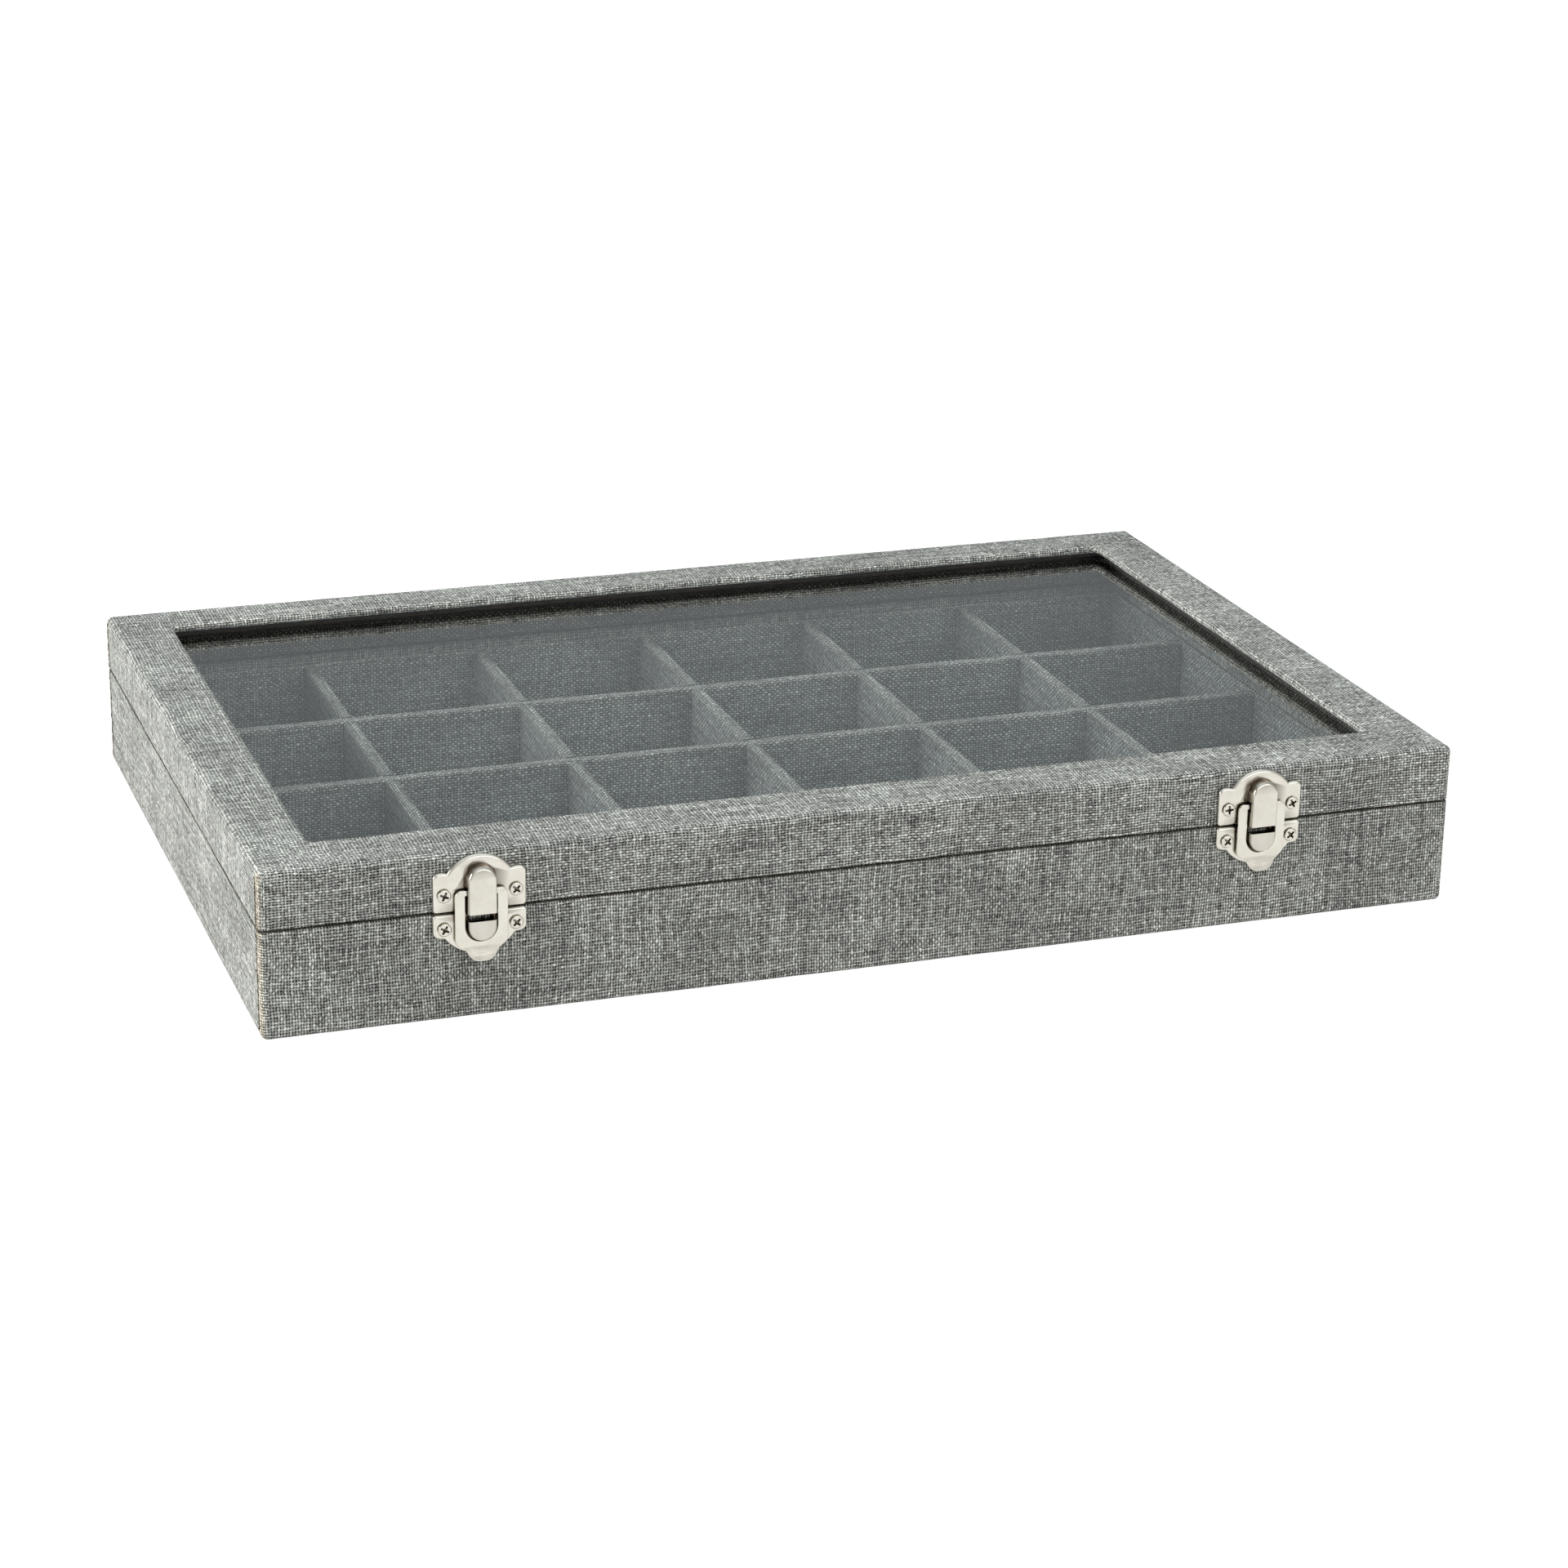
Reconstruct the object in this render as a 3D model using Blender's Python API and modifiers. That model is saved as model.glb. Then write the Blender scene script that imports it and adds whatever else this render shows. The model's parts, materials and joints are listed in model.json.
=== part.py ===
"""A linen-covered sorting box: 24 compartments under a hinged lid with a glass window.

The base is a tray of boards wrapped in linen, with a linen lining and a grid of lapped dividers.
The lid is a frame of boards around a glass pane, and turns on two stop hinges at the back.
Two snap latches close it: a plate with a hood and a hanging flap on the lid, and a plate with a
D-shaped catch on the base.

Frame: +Z up, the front faces -Y, and X runs along the length. The origin is under the middle of
the box, on the surface that it stands on. Lengths here are in millimetres.
"""

from math import atan2, cos, pi, radians, sin, tan

import bmesh
import bpy
from mathutils import Matrix, Vector

MM = 0.001

# Driving dimensions of the box
LENGTH = 350.0
DEPTH = 233.0
BASE_TOP = 30.9
LID_BOTTOM = 31.4
LID_TOP = 47.8
COLUMNS = 6
ROWS = 4
SIDE_RAIL = 18.0
FRONT_RAIL = 20.0
BACK_RAIL = 16.0

# Sheet and board thicknesses
LINEN = 0.5
BOARD = 4.0
LINING = 1.2
GAP = 0.3
FELT = 0.6
BOTTOM_BOARD = 2.5
FLOOR_LINING = 1.0
DIVIDER = 3.8
GLASS = 2.0

# Roundings of the wrapped edges
UPRIGHT_EDGE = 2.0
LID_TOP_EDGE = 2.0
BASE_BOTTOM_EDGE = 1.5
RIM_EDGE = 0.8
BOARD_CORNER = 1.5
WINDOW_CORNER = 2.0

# The wall from outside in, as distances from the outer face
BOARD_OUT = LINEN + GAP
BOARD_IN = BOARD_OUT + BOARD
TURN_IN_FACE = BOARD_IN + GAP + LINEN
LINING_OUT = TURN_IN_FACE + GAP
LINING_IN = LINING_OUT + LINING

# Heights in the base
UNDERSIDE = 0.1
UNDER_TURN_IN = 12.0
BOTTOM_BOARD_LOW = UNDERSIDE + LINEN + GAP
WALL_LOW = BOTTOM_BOARD_LOW + BOTTOM_BOARD + GAP
FLOOR = WALL_LOW + FLOOR_LINING
LINING_LOW = FLOOR + GAP
LINING_TOP = 27.9
DIVIDER_TOP = 27.7
BASE_TURN_IN_END = 24.0

# Heights in the lid
RAIL_THICKNESS = 2.6
RAIL_ROUND = RAIL_THICKNESS / 2
PANEL_TOP = LID_TOP - BOARD_OUT
PANEL_LOW = LID_TOP - RAIL_THICKNESS + BOARD_OUT
PANEL_CHAMFER = 0.4
SPACER_TOP = LID_TOP - RAIL_THICKNESS - GAP
SPACER_LOW = SPACER_TOP - 1.4
SPACER_SETBACK = 4.0
GLASS_TOP = SPACER_LOW - GAP
GLASS_LOW = GLASS_TOP - GLASS
GLASS_INSET = 6.5
RETAINER = 3.0
RETAINER_TOP = GLASS_LOW - GAP
RETAINER_LOW = LID_BOTTOM + 1.6
LID_TURN_IN_END = 38.0
WINDOW_TURN_IN = 8.0

# Dividers
DIVIDER_EDGE = DIVIDER / 2 - 0.1

# Snap latches: places along X, and depths measured outwards from the linen of the front
LATCH_PLACES = {"left": -115.5, "right": 113.5}
PLATE_BACK = GAP
PLATE_FRONT = PLATE_BACK + 1.1
SHEET = 0.6
HOOD_FACE = 5.0
CATCH_FACE = 4.7
FLAP_AXIS_OUT = 2.6
FLAP_AXIS_HEIGHT = 37.0
FLAP_THICKNESS = 0.8
SCREW_ACROSS = 9.9
PLATE_SCREW_HEIGHT = 36.5
CATCH_SCREW_HEIGHT = 26.9
PLATE_EDGE = 0.25

# The upper plate: ears with an arch between them, which meets them at (ARCH_JOINT, ARCH_JOINT_HEIGHT)
PLATE_HALF = 12.9
PLATE_LOW = 31.45
PLATE_SHOULDER = 42.9
PLATE_CORNER = 0.6
SHOULDER_CORNER = 1.9
ARCH_RADIUS = 10.7
ARCH_JOINT = 8.8
ARCH_JOINT_HEIGHT = 42.6

# The hood on it: its face leans back over the crease
HOOD_TOP = 44.9
HOOD_HALF = 4.2
HOOD_CREASE = 41.0
HOOD_LEAN = 0.2
NOTCH_LOW = 35.5
NOTCH_HIGH = 38.6
NOTCH_OUT = 4.0

# The lower plate and its D-shaped catch
CATCH_PLATE_HALF = 13.0
CATCH_PLATE_TOP = 31.0
CATCH_PLATE_CORNER = 0.8
CATCH_EAR_LOW = 24.2
CATCH_EAR_CORNER = 2.0
CATCH_ARC_RADIUS = 12.1
CATCH_ARC_SWEEP = 54.0
CATCH_FLAT = 29.35
CATCH_ROUND = 23.35
CATCH_HALF = 4.1

# The flap: corners of its right half as (across, height, radius), and its window
FLAP_HALF = 7.3
FLAP_OVER_AXIS = 0.9
FLAP_CORNERS = ((FLAP_HALF, 22.7, 2.0), (4.4, 20.7, 2.5), (2.8, 18.0, 3.0))
FLAP_TOP_CORNER = 1.8
FLAP_EDGE = 0.2
FLAP_WINDOW_HALF = 4.4
FLAP_WINDOW_LOW = 23.05
FLAP_BAR_UNDER_AXIS = 0.8
FLAP_BEND_HEIGHT = 22.4
FLAP_BEND_SLOPE = 0.32

# The leaf spring inside the hood
SPRING_HALF = 2.2
SPRING_SHEET = 0.3
SPRING_FRONT = 4.1
SPRING_FOOT = 1.0
SPRING_LOW = 32.4
SPRING_TOP = 40.9

# Screws
HEAD_RADIUS = 1.8
HEAD_HEIGHT = 0.75
SHANK_RADIUS = 0.85
SHANK_LENGTH = 5.4
SHANK_TIP = 1.6
RECESS_HALF = 0.32
RECESS_REACH = HEAD_RADIUS * 0.62
RECESS_FLOOR = HEAD_HEIGHT * 0.35
HOLE_RADIUS = SHANK_RADIUS + GAP
HOLE_REACH = 0.6

# Stop hinges at the back: places along X, and sizes about the pin's axis
HINGE_PLACES = {"left": -105.0, "right": 105.0}
HINGE_AXIS_OUT = 2.0
HINGE_AXIS_HEIGHT = (BASE_TOP + LID_BOTTOM) / 2
HINGE_HALF = 12.5
KNUCKLE_HALF = 4.3
KNUCKLE_RADIUS = 1.6
PIN_RADIUS = 0.75
BORE_RADIUS = PIN_RADIUS + 0.15
LEAF = 0.8
LEAF_CORNER = 1.5
LEAF_START = KNUCKLE_RADIUS + GAP
TONGUE_STEP = 0.2
BASE_LEAF_REACH = 13.9
LID_LEAF_REACH = 12.9
STOP_REACH = HOOD_FACE - HINGE_AXIS_OUT
LEAF_SCREW_ACROSS = 8.5
LEAF_SCREW_OFFSET = 8.0

CORNER_STEPS = 3
ROUND_STEPS = 16
SCREW_STEPS = 12
SHARP_ANGLE = 35


# Scene and materials


def clear_scene():
    for thing in list(bpy.data.objects):
        bpy.data.objects.remove(thing, do_unlink=True)


def material(name, colour, roughness, metallic=0.0):
    look = bpy.data.materials.new(name)
    look.use_nodes = True
    shader = look.node_tree.nodes["Principled BSDF"]
    shader.inputs["Base Color"].default_value = (*colour, 1.0)
    shader.inputs["Roughness"].default_value = roughness
    shader.inputs["Metallic"].default_value = metallic
    return look


def pivot(name, place, parent=None):
    """An empty at a place in the world, which pieces are parented to."""
    empty = bpy.data.objects.new(name, None)
    empty["place"] = list(place)
    empty.location = Vector(place) * MM
    if parent:
        empty.parent = parent
        empty.location -= Vector(parent["place"]) * MM
    PARTS.objects.link(empty)
    return empty


def put(name, mesh, look, parent, place=(0, 0, 0)):
    """One sub-part: a mesh at a place in the world, moving with its pivot. Its round faces are smooth."""
    piece = bpy.data.objects.new(name, mesh)
    if not mesh.materials:
        mesh.materials.append(look)
    mesh.shade_smooth()
    mesh.set_sharp_from_angle(angle=radians(SHARP_ANGLE))
    piece.parent = parent
    piece.location = (Vector(place) - Vector(parent["place"])) * MM
    PARTS.objects.link(piece)
    return piece


# Meshes


def mesh_of(shape, name="piece"):
    """Closes a bmesh into a mesh with its faces pointing outwards."""
    bmesh.ops.remove_doubles(shape, verts=shape.verts, dist=1e-7)
    bmesh.ops.recalc_face_normals(shape, faces=shape.faces)
    mesh = bpy.data.meshes.new(name)
    shape.to_mesh(mesh)
    shape.free()
    return mesh


def evaluated_mesh(piece):
    """The mesh that an object's modifiers make. The object itself is removed."""
    bpy.context.scene.collection.objects.link(piece)
    graph = bpy.context.evaluated_depsgraph_get()
    mesh = bpy.data.meshes.new_from_object(piece.evaluated_get(graph))
    bpy.data.objects.remove(piece, do_unlink=True)
    return mesh


def box(low, high):
    shape = bmesh.new()
    bmesh.ops.create_cube(shape, size=1.0)
    low, high = Vector(low), Vector(high)
    bmesh.ops.scale(shape, vec=(high - low) * MM, verts=shape.verts)
    bmesh.ops.translate(shape, vec=(high + low) / 2 * MM, verts=shape.verts)
    return mesh_of(shape)


def rods(starts, direction, length, radius, steps=ROUND_STEPS):
    """Cylinders of one radius and direction, each from its own starting point."""
    shape = bmesh.new()
    turn = Vector((0, 0, 1)).rotation_difference(Vector(direction)).to_matrix().to_4x4()
    for start in starts:
        middle = Vector(start) + Vector(direction) * length / 2
        bmesh.ops.create_cone(
            shape,
            cap_ends=True,
            segments=steps,
            radius1=radius * MM,
            radius2=radius * MM,
            depth=length * MM,
            matrix=Matrix.Translation(middle * MM) @ turn,
        )
    return mesh_of(shape)


def combined(mesh, *steps):
    """The mesh after Boolean steps, each an operation and another mesh."""
    piece = bpy.data.objects.new("combined", mesh)
    helpers = []
    for operation, other in steps:
        helper = bpy.data.objects.new("helper", other)
        bpy.context.scene.collection.objects.link(helper)
        helpers.append(helper)
        step = piece.modifiers.new(operation, "BOOLEAN")
        step.operation = operation
        step.solver = "EXACT"
        step.object = helper
    made = evaluated_mesh(piece)
    for helper in helpers:
        bpy.data.objects.remove(helper, do_unlink=True)
    return made


def fillet(corners, steps=4):
    """Points of an outline whose corners are given as (x, y, radius)."""
    points = []
    for index, (x, y, radius) in enumerate(corners):
        here = Vector((x, y))
        if not radius:
            points.append(here)
            continue
        back = (Vector(corners[index - 1][:2]) - here).normalized()
        onward = (Vector(corners[(index + 1) % len(corners)][:2]) - here).normalized()
        half = back.angle(onward) / 2
        centre = here + (back + onward).normalized() * radius / sin(half)
        start = here + back * radius / tan(half) - centre
        end = here + onward * radius / tan(half) - centre
        first = atan2(start.y, start.x)
        sweep = (atan2(end.y, end.x) - first + pi) % (2 * pi) - pi
        for step in range(steps + 1):
            angle = first + sweep * step / steps
            points.append(centre + Vector((cos(angle), sin(angle))) * radius)
    return points


def arc(centre, radius, start, end, steps):
    """Points on a circle from one angle to another, in degrees."""
    angles = [radians(start + (end - start) * step / steps) for step in range(steps + 1)]
    return [Vector(centre) + Vector((cos(angle), sin(angle))) * radius for angle in angles]


def circle(centre, radius, steps=ROUND_STEPS):
    return arc(centre, radius, 0, 360 - 360 / steps, steps - 1)


# Turns a flat outline's own x, y and thickness into the world's axes
OUTLINE_PLANES = {
    "X": Matrix(((0, 0, 1), (1, 0, 0), (0, 1, 0))).to_4x4(),
    "Y": Matrix(((1, 0, 0), (0, 0, -1), (0, 1, 0))).to_4x4(),
    "Z": Matrix.Identity(4),
}


def prism(outlines, axis, low, high, edge=0.0):
    """A flat outline, with any holes, thickened along an axis from low to high.

    edge is the radius that rounds its front and back edges.
    """
    curve = bpy.data.curves.new("outline", "CURVE")
    curve.dimensions = "2D"
    curve.fill_mode = "BOTH"
    curve.extrude = ((high - low) / 2 - edge) * MM
    curve.bevel_depth = edge * MM
    curve.bevel_resolution = 0
    curve.offset = -edge * MM
    for outline in outlines:
        spline = curve.splines.new("POLY")
        spline.points.add(len(outline) - 1)
        for point, place in zip(spline.points, outline):
            point.co = (place[0] * MM, place[1] * MM, 0, 1)
        spline.use_cyclic_u = True
    flat = evaluated_mesh(bpy.data.objects.new("outline", curve))
    middle = {"X": (1, 0, 0), "Y": (0, 1, 0), "Z": (0, 0, 1)}[axis]
    shift = Matrix.Translation(Vector(middle) * (low + high) / 2 * MM)
    shape = bmesh.new()
    shape.from_mesh(flat)
    bmesh.ops.transform(shape, matrix=shift @ OUTLINE_PLANES[axis], verts=shape.verts)
    return mesh_of(shape)


def loft(sections, looped=False, capped=True):
    """A skin over closed outlines with the same number of points."""
    shape = bmesh.new()
    rings = [[shape.verts.new(Vector(point) * MM) for point in section] for section in sections]
    pairs = list(zip(rings, rings[1:]))
    if looped:
        pairs.append((rings[-1], rings[0]))
    for near, far in pairs:
        for index in range(len(near)):
            after = (index + 1) % len(near)
            shape.faces.new((near[index], near[after], far[after], far[index]))
    if capped and not looped:
        shape.faces.new(reversed(rings[0]))
        shape.faces.new(rings[-1])
    return shape


def shelled(shape, thickness):
    """A solid made from an open skin by thickening it inwards."""
    mesh = bpy.data.meshes.new("skin")
    shape.to_mesh(mesh)
    shape.free()
    piece = bpy.data.objects.new("skin", mesh)
    shell = piece.modifiers.new("thickness", "SOLIDIFY")
    shell.thickness = thickness * MM
    shell.offset = -1.0
    shell.use_even_offset = True
    return evaluated_mesh(piece)


def rounded_rectangle(frame, corner, height):
    """One ring around the box. frame is (low x, high x, low y, high y)."""
    low_x, high_x, low_y, high_y = frame
    corners = (
        (high_x - corner, high_y - corner, 0),
        (low_x + corner, high_y - corner, 90),
        (low_x + corner, low_y + corner, 180),
        (high_x - corner, low_y + corner, 270),
    )
    points = []
    for x, y, start in corners:
        points += arc((x, y), corner, start, start + 90, CORNER_STEPS)
    return [(point.x, point.y, height) for point in points]


def inset(distance):
    """The box's outline, moved inwards."""
    half_length, half_depth = LENGTH / 2 - distance, DEPTH / 2 - distance
    return (-half_length, half_length, -half_depth, half_depth)


def window(distance=0.0):
    """The window's outline, moved outwards into the rails."""
    return (
        -LENGTH / 2 + SIDE_RAIL - distance,
        LENGTH / 2 - SIDE_RAIL + distance,
        -DEPTH / 2 + FRONT_RAIL - distance,
        DEPTH / 2 - BACK_RAIL + distance,
    )


def outer_ring(distance, height):
    return rounded_rectangle(inset(distance), max(UPRIGHT_EDGE - distance, 0.6), height)


def window_ring(distance, height):
    return rounded_rectangle(window(distance), WINDOW_CORNER + distance, height)


def quarter(middle_inset, middle_height, radius, start, end, steps=3):
    """Rings along a rounded edge. The angle is 0 outwards and 90 upwards."""
    rings = []
    for point in arc((0, 0), radius, start, end, steps):
        rings.append(outer_ring(middle_inset - point.x, middle_height + point.y))
    return rings


# Linen wraps


def base_wrap():
    """Linen from under the base, up its sides and over its rim."""
    rim = BASE_TOP - RIM_EDGE
    skin = [outer_ring(UNDER_TURN_IN, UNDERSIDE)]
    skin += quarter(BASE_BOTTOM_EDGE, UNDERSIDE + BASE_BOTTOM_EDGE, BASE_BOTTOM_EDGE, -90, 0)
    skin += quarter(RIM_EDGE, rim, RIM_EDGE, 0, 90)
    skin += quarter(TURN_IN_FACE - RIM_EDGE, rim, RIM_EDGE, 90, 180)
    skin.append(outer_ring(TURN_IN_FACE, BASE_TURN_IN_END))
    wrap = shelled(loft(skin, capped=False), LINEN)
    return combined(
        wrap,
        ("DIFFERENCE", screw_holes(catch_screw_places(), 1, (0, LINEN))),
        ("DIFFERENCE", screw_holes(base_leaf_screw_places(), -1, (0, LINEN))),
    )


def lid_wrap():
    """Linen over the lid's rim, sides and rails, and round the window's edge."""
    rim = LID_BOTTOM + RIM_EDGE
    skin = [outer_ring(TURN_IN_FACE, LID_TURN_IN_END)]
    skin += quarter(TURN_IN_FACE - RIM_EDGE, rim, RIM_EDGE, 180, 270)
    skin += quarter(RIM_EDGE, rim, RIM_EDGE, -90, 0)
    skin += quarter(LID_TOP_EDGE, LID_TOP - LID_TOP_EDGE, LID_TOP_EDGE, 0, 90)
    for point in arc((0, 0), RAIL_ROUND, 90, -90, 6):
        skin.append(window_ring(RAIL_ROUND - point.x, LID_TOP - RAIL_ROUND + point.y))
    skin.append(window_ring(WINDOW_TURN_IN, LID_TOP - RAIL_THICKNESS))
    wrap = shelled(loft(skin, capped=False), LINEN)
    return combined(
        wrap,
        ("DIFFERENCE", screw_holes(plate_screw_places(), 1, (0, LINEN))),
        ("DIFFERENCE", screw_holes(lid_leaf_screw_places(), -1, (0, LINEN))),
    )


# Boards and linings


def long_board(side, low, high, screws, outward):
    """A front (-1) or back (1) wall board, rounded at its outer corners and drilled."""
    half = LENGTH / 2 - BOARD_OUT
    outer = side * (DEPTH / 2 - BOARD_OUT)
    inner = side * (DEPTH / 2 - BOARD_IN)
    corners = [
        (-half, outer, BOARD_CORNER),
        (half, outer, BOARD_CORNER),
        (half, inner, 0),
        (-half, inner, 0),
    ]
    board = prism([fillet(corners)], "Z", low, high)
    depths = (BOARD_OUT, SHANK_LENGTH + GAP)
    return combined(board, ("DIFFERENCE", screw_holes(screws, outward, depths)))


def end_board(side, low, high):
    """A left (-1) or right (1) wall board, which fits between the long boards."""
    inner, outer = sorted((LENGTH / 2 - BOARD_IN, LENGTH / 2 - BOARD_OUT))
    half = DEPTH / 2 - BOARD_IN - GAP
    ends = sorted((side * inner, side * outer))
    return box((ends[0], -half, low), (ends[1], half, high))


def top_panel():
    """The board inside the lid's rails, half round at the window."""
    nose = RAIL_ROUND - BOARD_OUT
    middle = (PANEL_TOP + PANEL_LOW) / 2
    sections = [
        outer_ring(BOARD_OUT, PANEL_LOW),
        outer_ring(BOARD_OUT, PANEL_TOP - PANEL_CHAMFER),
        outer_ring(BOARD_OUT + PANEL_CHAMFER, PANEL_TOP),
    ]
    for point in arc((0, 0), nose, 90, -90, 4):
        sections.append(window_ring(RAIL_ROUND - point.x, middle + point.y))
    return mesh_of(loft(sections, looped=True))


def glass_spacer():
    """A strip between the rails and the glass, set back from the window's edge."""
    sections = [
        outer_ring(GLASS_INSET, SPACER_LOW),
        outer_ring(GLASS_INSET, SPACER_TOP),
        window_ring(SPACER_SETBACK, SPACER_TOP),
        window_ring(SPACER_SETBACK, SPACER_LOW),
    ]
    return mesh_of(loft(sections, looped=True))


def glass_retainer():
    """A frame inside the lid's walls that holds the glass up against the spacer."""
    inner, outer = LINING_OUT + RETAINER, LINING_OUT
    sections = [
        outer_ring(outer, RETAINER_LOW),
        outer_ring(outer, RETAINER_TOP),
        outer_ring(inner, RETAINER_TOP),
        outer_ring(inner, RETAINER_LOW),
    ]
    return mesh_of(loft(sections, looped=True))


def plate_within(distance, low, high):
    """A flat sheet that fills the box's outline, moved inwards."""
    low_x, high_x, low_y, high_y = inset(distance)
    return box((low_x, low_y, low), (high_x, high_y, high))


def lining_wall(side, along_length):
    """One lining wall. The front and back ones run past the ends of the other two."""
    if along_length:
        half = LENGTH / 2 - LINING_OUT
        faces = sorted((side * (DEPTH / 2 - LINING_OUT), side * (DEPTH / 2 - LINING_IN)))
        return box((-half, faces[0], LINING_LOW), (half, faces[1], LINING_TOP))
    half = DEPTH / 2 - LINING_IN - GAP
    faces = sorted((side * (LENGTH / 2 - LINING_OUT), side * (LENGTH / 2 - LINING_IN)))
    return box((faces[0], -half, LINING_LOW), (faces[1], half, LINING_TOP))


# Dividers


def divider_places(count, half):
    """The centres of the dividers that part a width into a number of equal spaces."""
    return [-half + 2 * half * index / count for index in range(1, count)]


def divider(axis, half, crossings, slot_from_top):
    """A divider with a rounded top edge, slotted to half its height at each crossing."""
    thick = DIVIDER / 2
    corners = [
        (-thick, LINING_LOW, 0),
        (thick, LINING_LOW, 0),
        (thick, DIVIDER_TOP, DIVIDER_EDGE),
        (-thick, DIVIDER_TOP, DIVIDER_EDGE),
    ]
    strip = prism([fillet(corners, 3)], axis, -half, half)
    middle = (LINING_LOW + DIVIDER_TOP) / 2
    if slot_from_top:
        low, high = middle - GAP / 2, DIVIDER_TOP + 1
    else:
        low, high = LINING_LOW - 1, middle + GAP / 2
    wide = thick + GAP
    steps = []
    for place in crossings:
        if axis == "X":
            slot = box((place - wide, -DIVIDER, low), (place + wide, DIVIDER, high))
        else:
            slot = box((-DIVIDER, place - wide, low), (DIVIDER, place + wide, high))
        steps.append(("DIFFERENCE", slot))
    return combined(strip, *steps)


# Screws


def screw_holes(places, outward, depths):
    """Cutters for screw holes. outward is 1 at the front and -1 at the back.

    depths are how far under the linen's surface the holes start and end.
    """
    start, end = depths[0] - HOLE_REACH, depths[1]
    if end == LINEN:
        end += HOLE_REACH / 2
    face = -outward * DEPTH / 2
    starts = [(x, face + outward * start, z) for x, z in places]
    return rods(starts, (0, outward, 0), end - start, HOLE_RADIUS, 12)


def plate_screw_places():
    return screw_pairs(LATCH_PLACES, SCREW_ACROSS, PLATE_SCREW_HEIGHT)


def catch_screw_places():
    return screw_pairs(LATCH_PLACES, SCREW_ACROSS, CATCH_SCREW_HEIGHT)


def base_leaf_screw_places():
    height = HINGE_AXIS_HEIGHT - LEAF_SCREW_OFFSET
    return screw_pairs(HINGE_PLACES, LEAF_SCREW_ACROSS, height)


def lid_leaf_screw_places():
    height = HINGE_AXIS_HEIGHT + LEAF_SCREW_OFFSET
    return screw_pairs(HINGE_PLACES, LEAF_SCREW_ACROSS, height)


def screw_pairs(places, across, height):
    return [(middle + side * across, height) for middle in places.values() for side in (-1, 1)]


def screw():
    """A small pan-head screw with a cross recess, its head's underside at the origin, facing -Y."""
    profile = (
        (0, HEAD_HEIGHT),
        (HEAD_RADIUS * 0.6, HEAD_HEIGHT * 0.93),
        (HEAD_RADIUS * 0.9, HEAD_HEIGHT * 0.6),
        (HEAD_RADIUS, HEAD_HEIGHT * 0.15),
        (HEAD_RADIUS, 0),
        (SHANK_RADIUS, 0),
        (SHANK_RADIUS, -SHANK_LENGTH + SHANK_TIP),
        (0, -SHANK_LENGTH),
    )
    line = bmesh.new()
    points = [line.verts.new((x * MM, 0, z * MM)) for x, z in profile]
    for first, second in zip(points, points[1:]):
        line.edges.new((first, second))
    mesh = bpy.data.meshes.new("profile")
    line.to_mesh(mesh)
    line.free()
    turned = bpy.data.objects.new("turned", mesh)
    turn = turned.modifiers.new("turn", "SCREW")
    turn.axis = "Z"
    turn.steps = SCREW_STEPS
    turn.render_steps = SCREW_STEPS
    turn.use_merge_vertices = True
    turn.merge_threshold = 1e-6
    solid = bmesh.new()
    solid.from_mesh(evaluated_mesh(turned))
    head = mesh_of(solid)
    low, high = RECESS_FLOOR, HEAD_HEIGHT + 1
    made = combined(
        head,
        ("DIFFERENCE", box((-RECESS_REACH, -RECESS_HALF, low), (RECESS_REACH, RECESS_HALF, high))),
        ("DIFFERENCE", box((-RECESS_HALF, -RECESS_REACH, low), (RECESS_HALF, RECESS_REACH, high))),
    )
    made.transform(Matrix.Rotation(radians(90), 4, "X"))
    return made


# Latches. Their meshes have x from the latch's middle, -y outwards, and z from the floor.


def screw_hole_outlines(height):
    return [circle((side * SCREW_ACROSS, height), HOLE_RADIUS, 12) for side in (-1, 1)]


def arch(half_width, flat_end, round_end, out, slope_from=None):
    """A closed outline with one flat end and one half-round end, at a distance out.

    Past slope_from the outline leans back towards the front of the box.
    """
    way = 1 if round_end > flat_end else -1
    middle = (0, round_end - way * half_width)
    points = [Vector((half_width, flat_end))]
    points += arc(middle, half_width, 0, way * 180, 8)
    points.append(Vector((-half_width, flat_end)))
    lean = 0.0 if slope_from is None else HOOD_LEAN
    return [
        (point.x, -out + lean * max(0.0, point.y - (slope_from or 0)), point.y)
        for point in points
    ]


def pressed_skin(half, flat_end, round_end, depths, slope_from=None):
    """A pressed shape that narrows outwards. depths are (narrower by, round end in by, distance out)."""
    way = 1 if round_end > flat_end else -1
    sections = []
    for narrower, shorter, out in depths:
        slope = slope_from if out > PLATE_FRONT + SHEET else None
        sections.append(arch(half - narrower, flat_end, round_end - way * shorter, out, slope))
    return mesh_of(loft(sections))


def hood_skin(shrink, back, face, flat_end):
    """The hood's outer shape, or its inside where it is shrunk by the sheet's thickness."""
    depths = (
        (0.0, 0.0, back),
        (0.3, 0.5, PLATE_FRONT + 0.5),
        (0.6, 1.0, face - 0.5),
        (0.9, 1.4, face),
    )
    return pressed_skin(HOOD_HALF - shrink, flat_end, HOOD_TOP - shrink, depths, HOOD_CREASE)


def catch_skin(shrink, back, face, flat_end):
    """The raised D of the lower plate, or its inside."""
    depths = (
        (0.0, 0.0, back),
        (0.25, 0.25, PLATE_FRONT + 0.6),
        (0.45, 0.5, face - 0.4),
        (0.8, 0.9, face),
    )
    return pressed_skin(CATCH_HALF - shrink, flat_end, CATCH_ROUND + shrink, depths)


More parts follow.
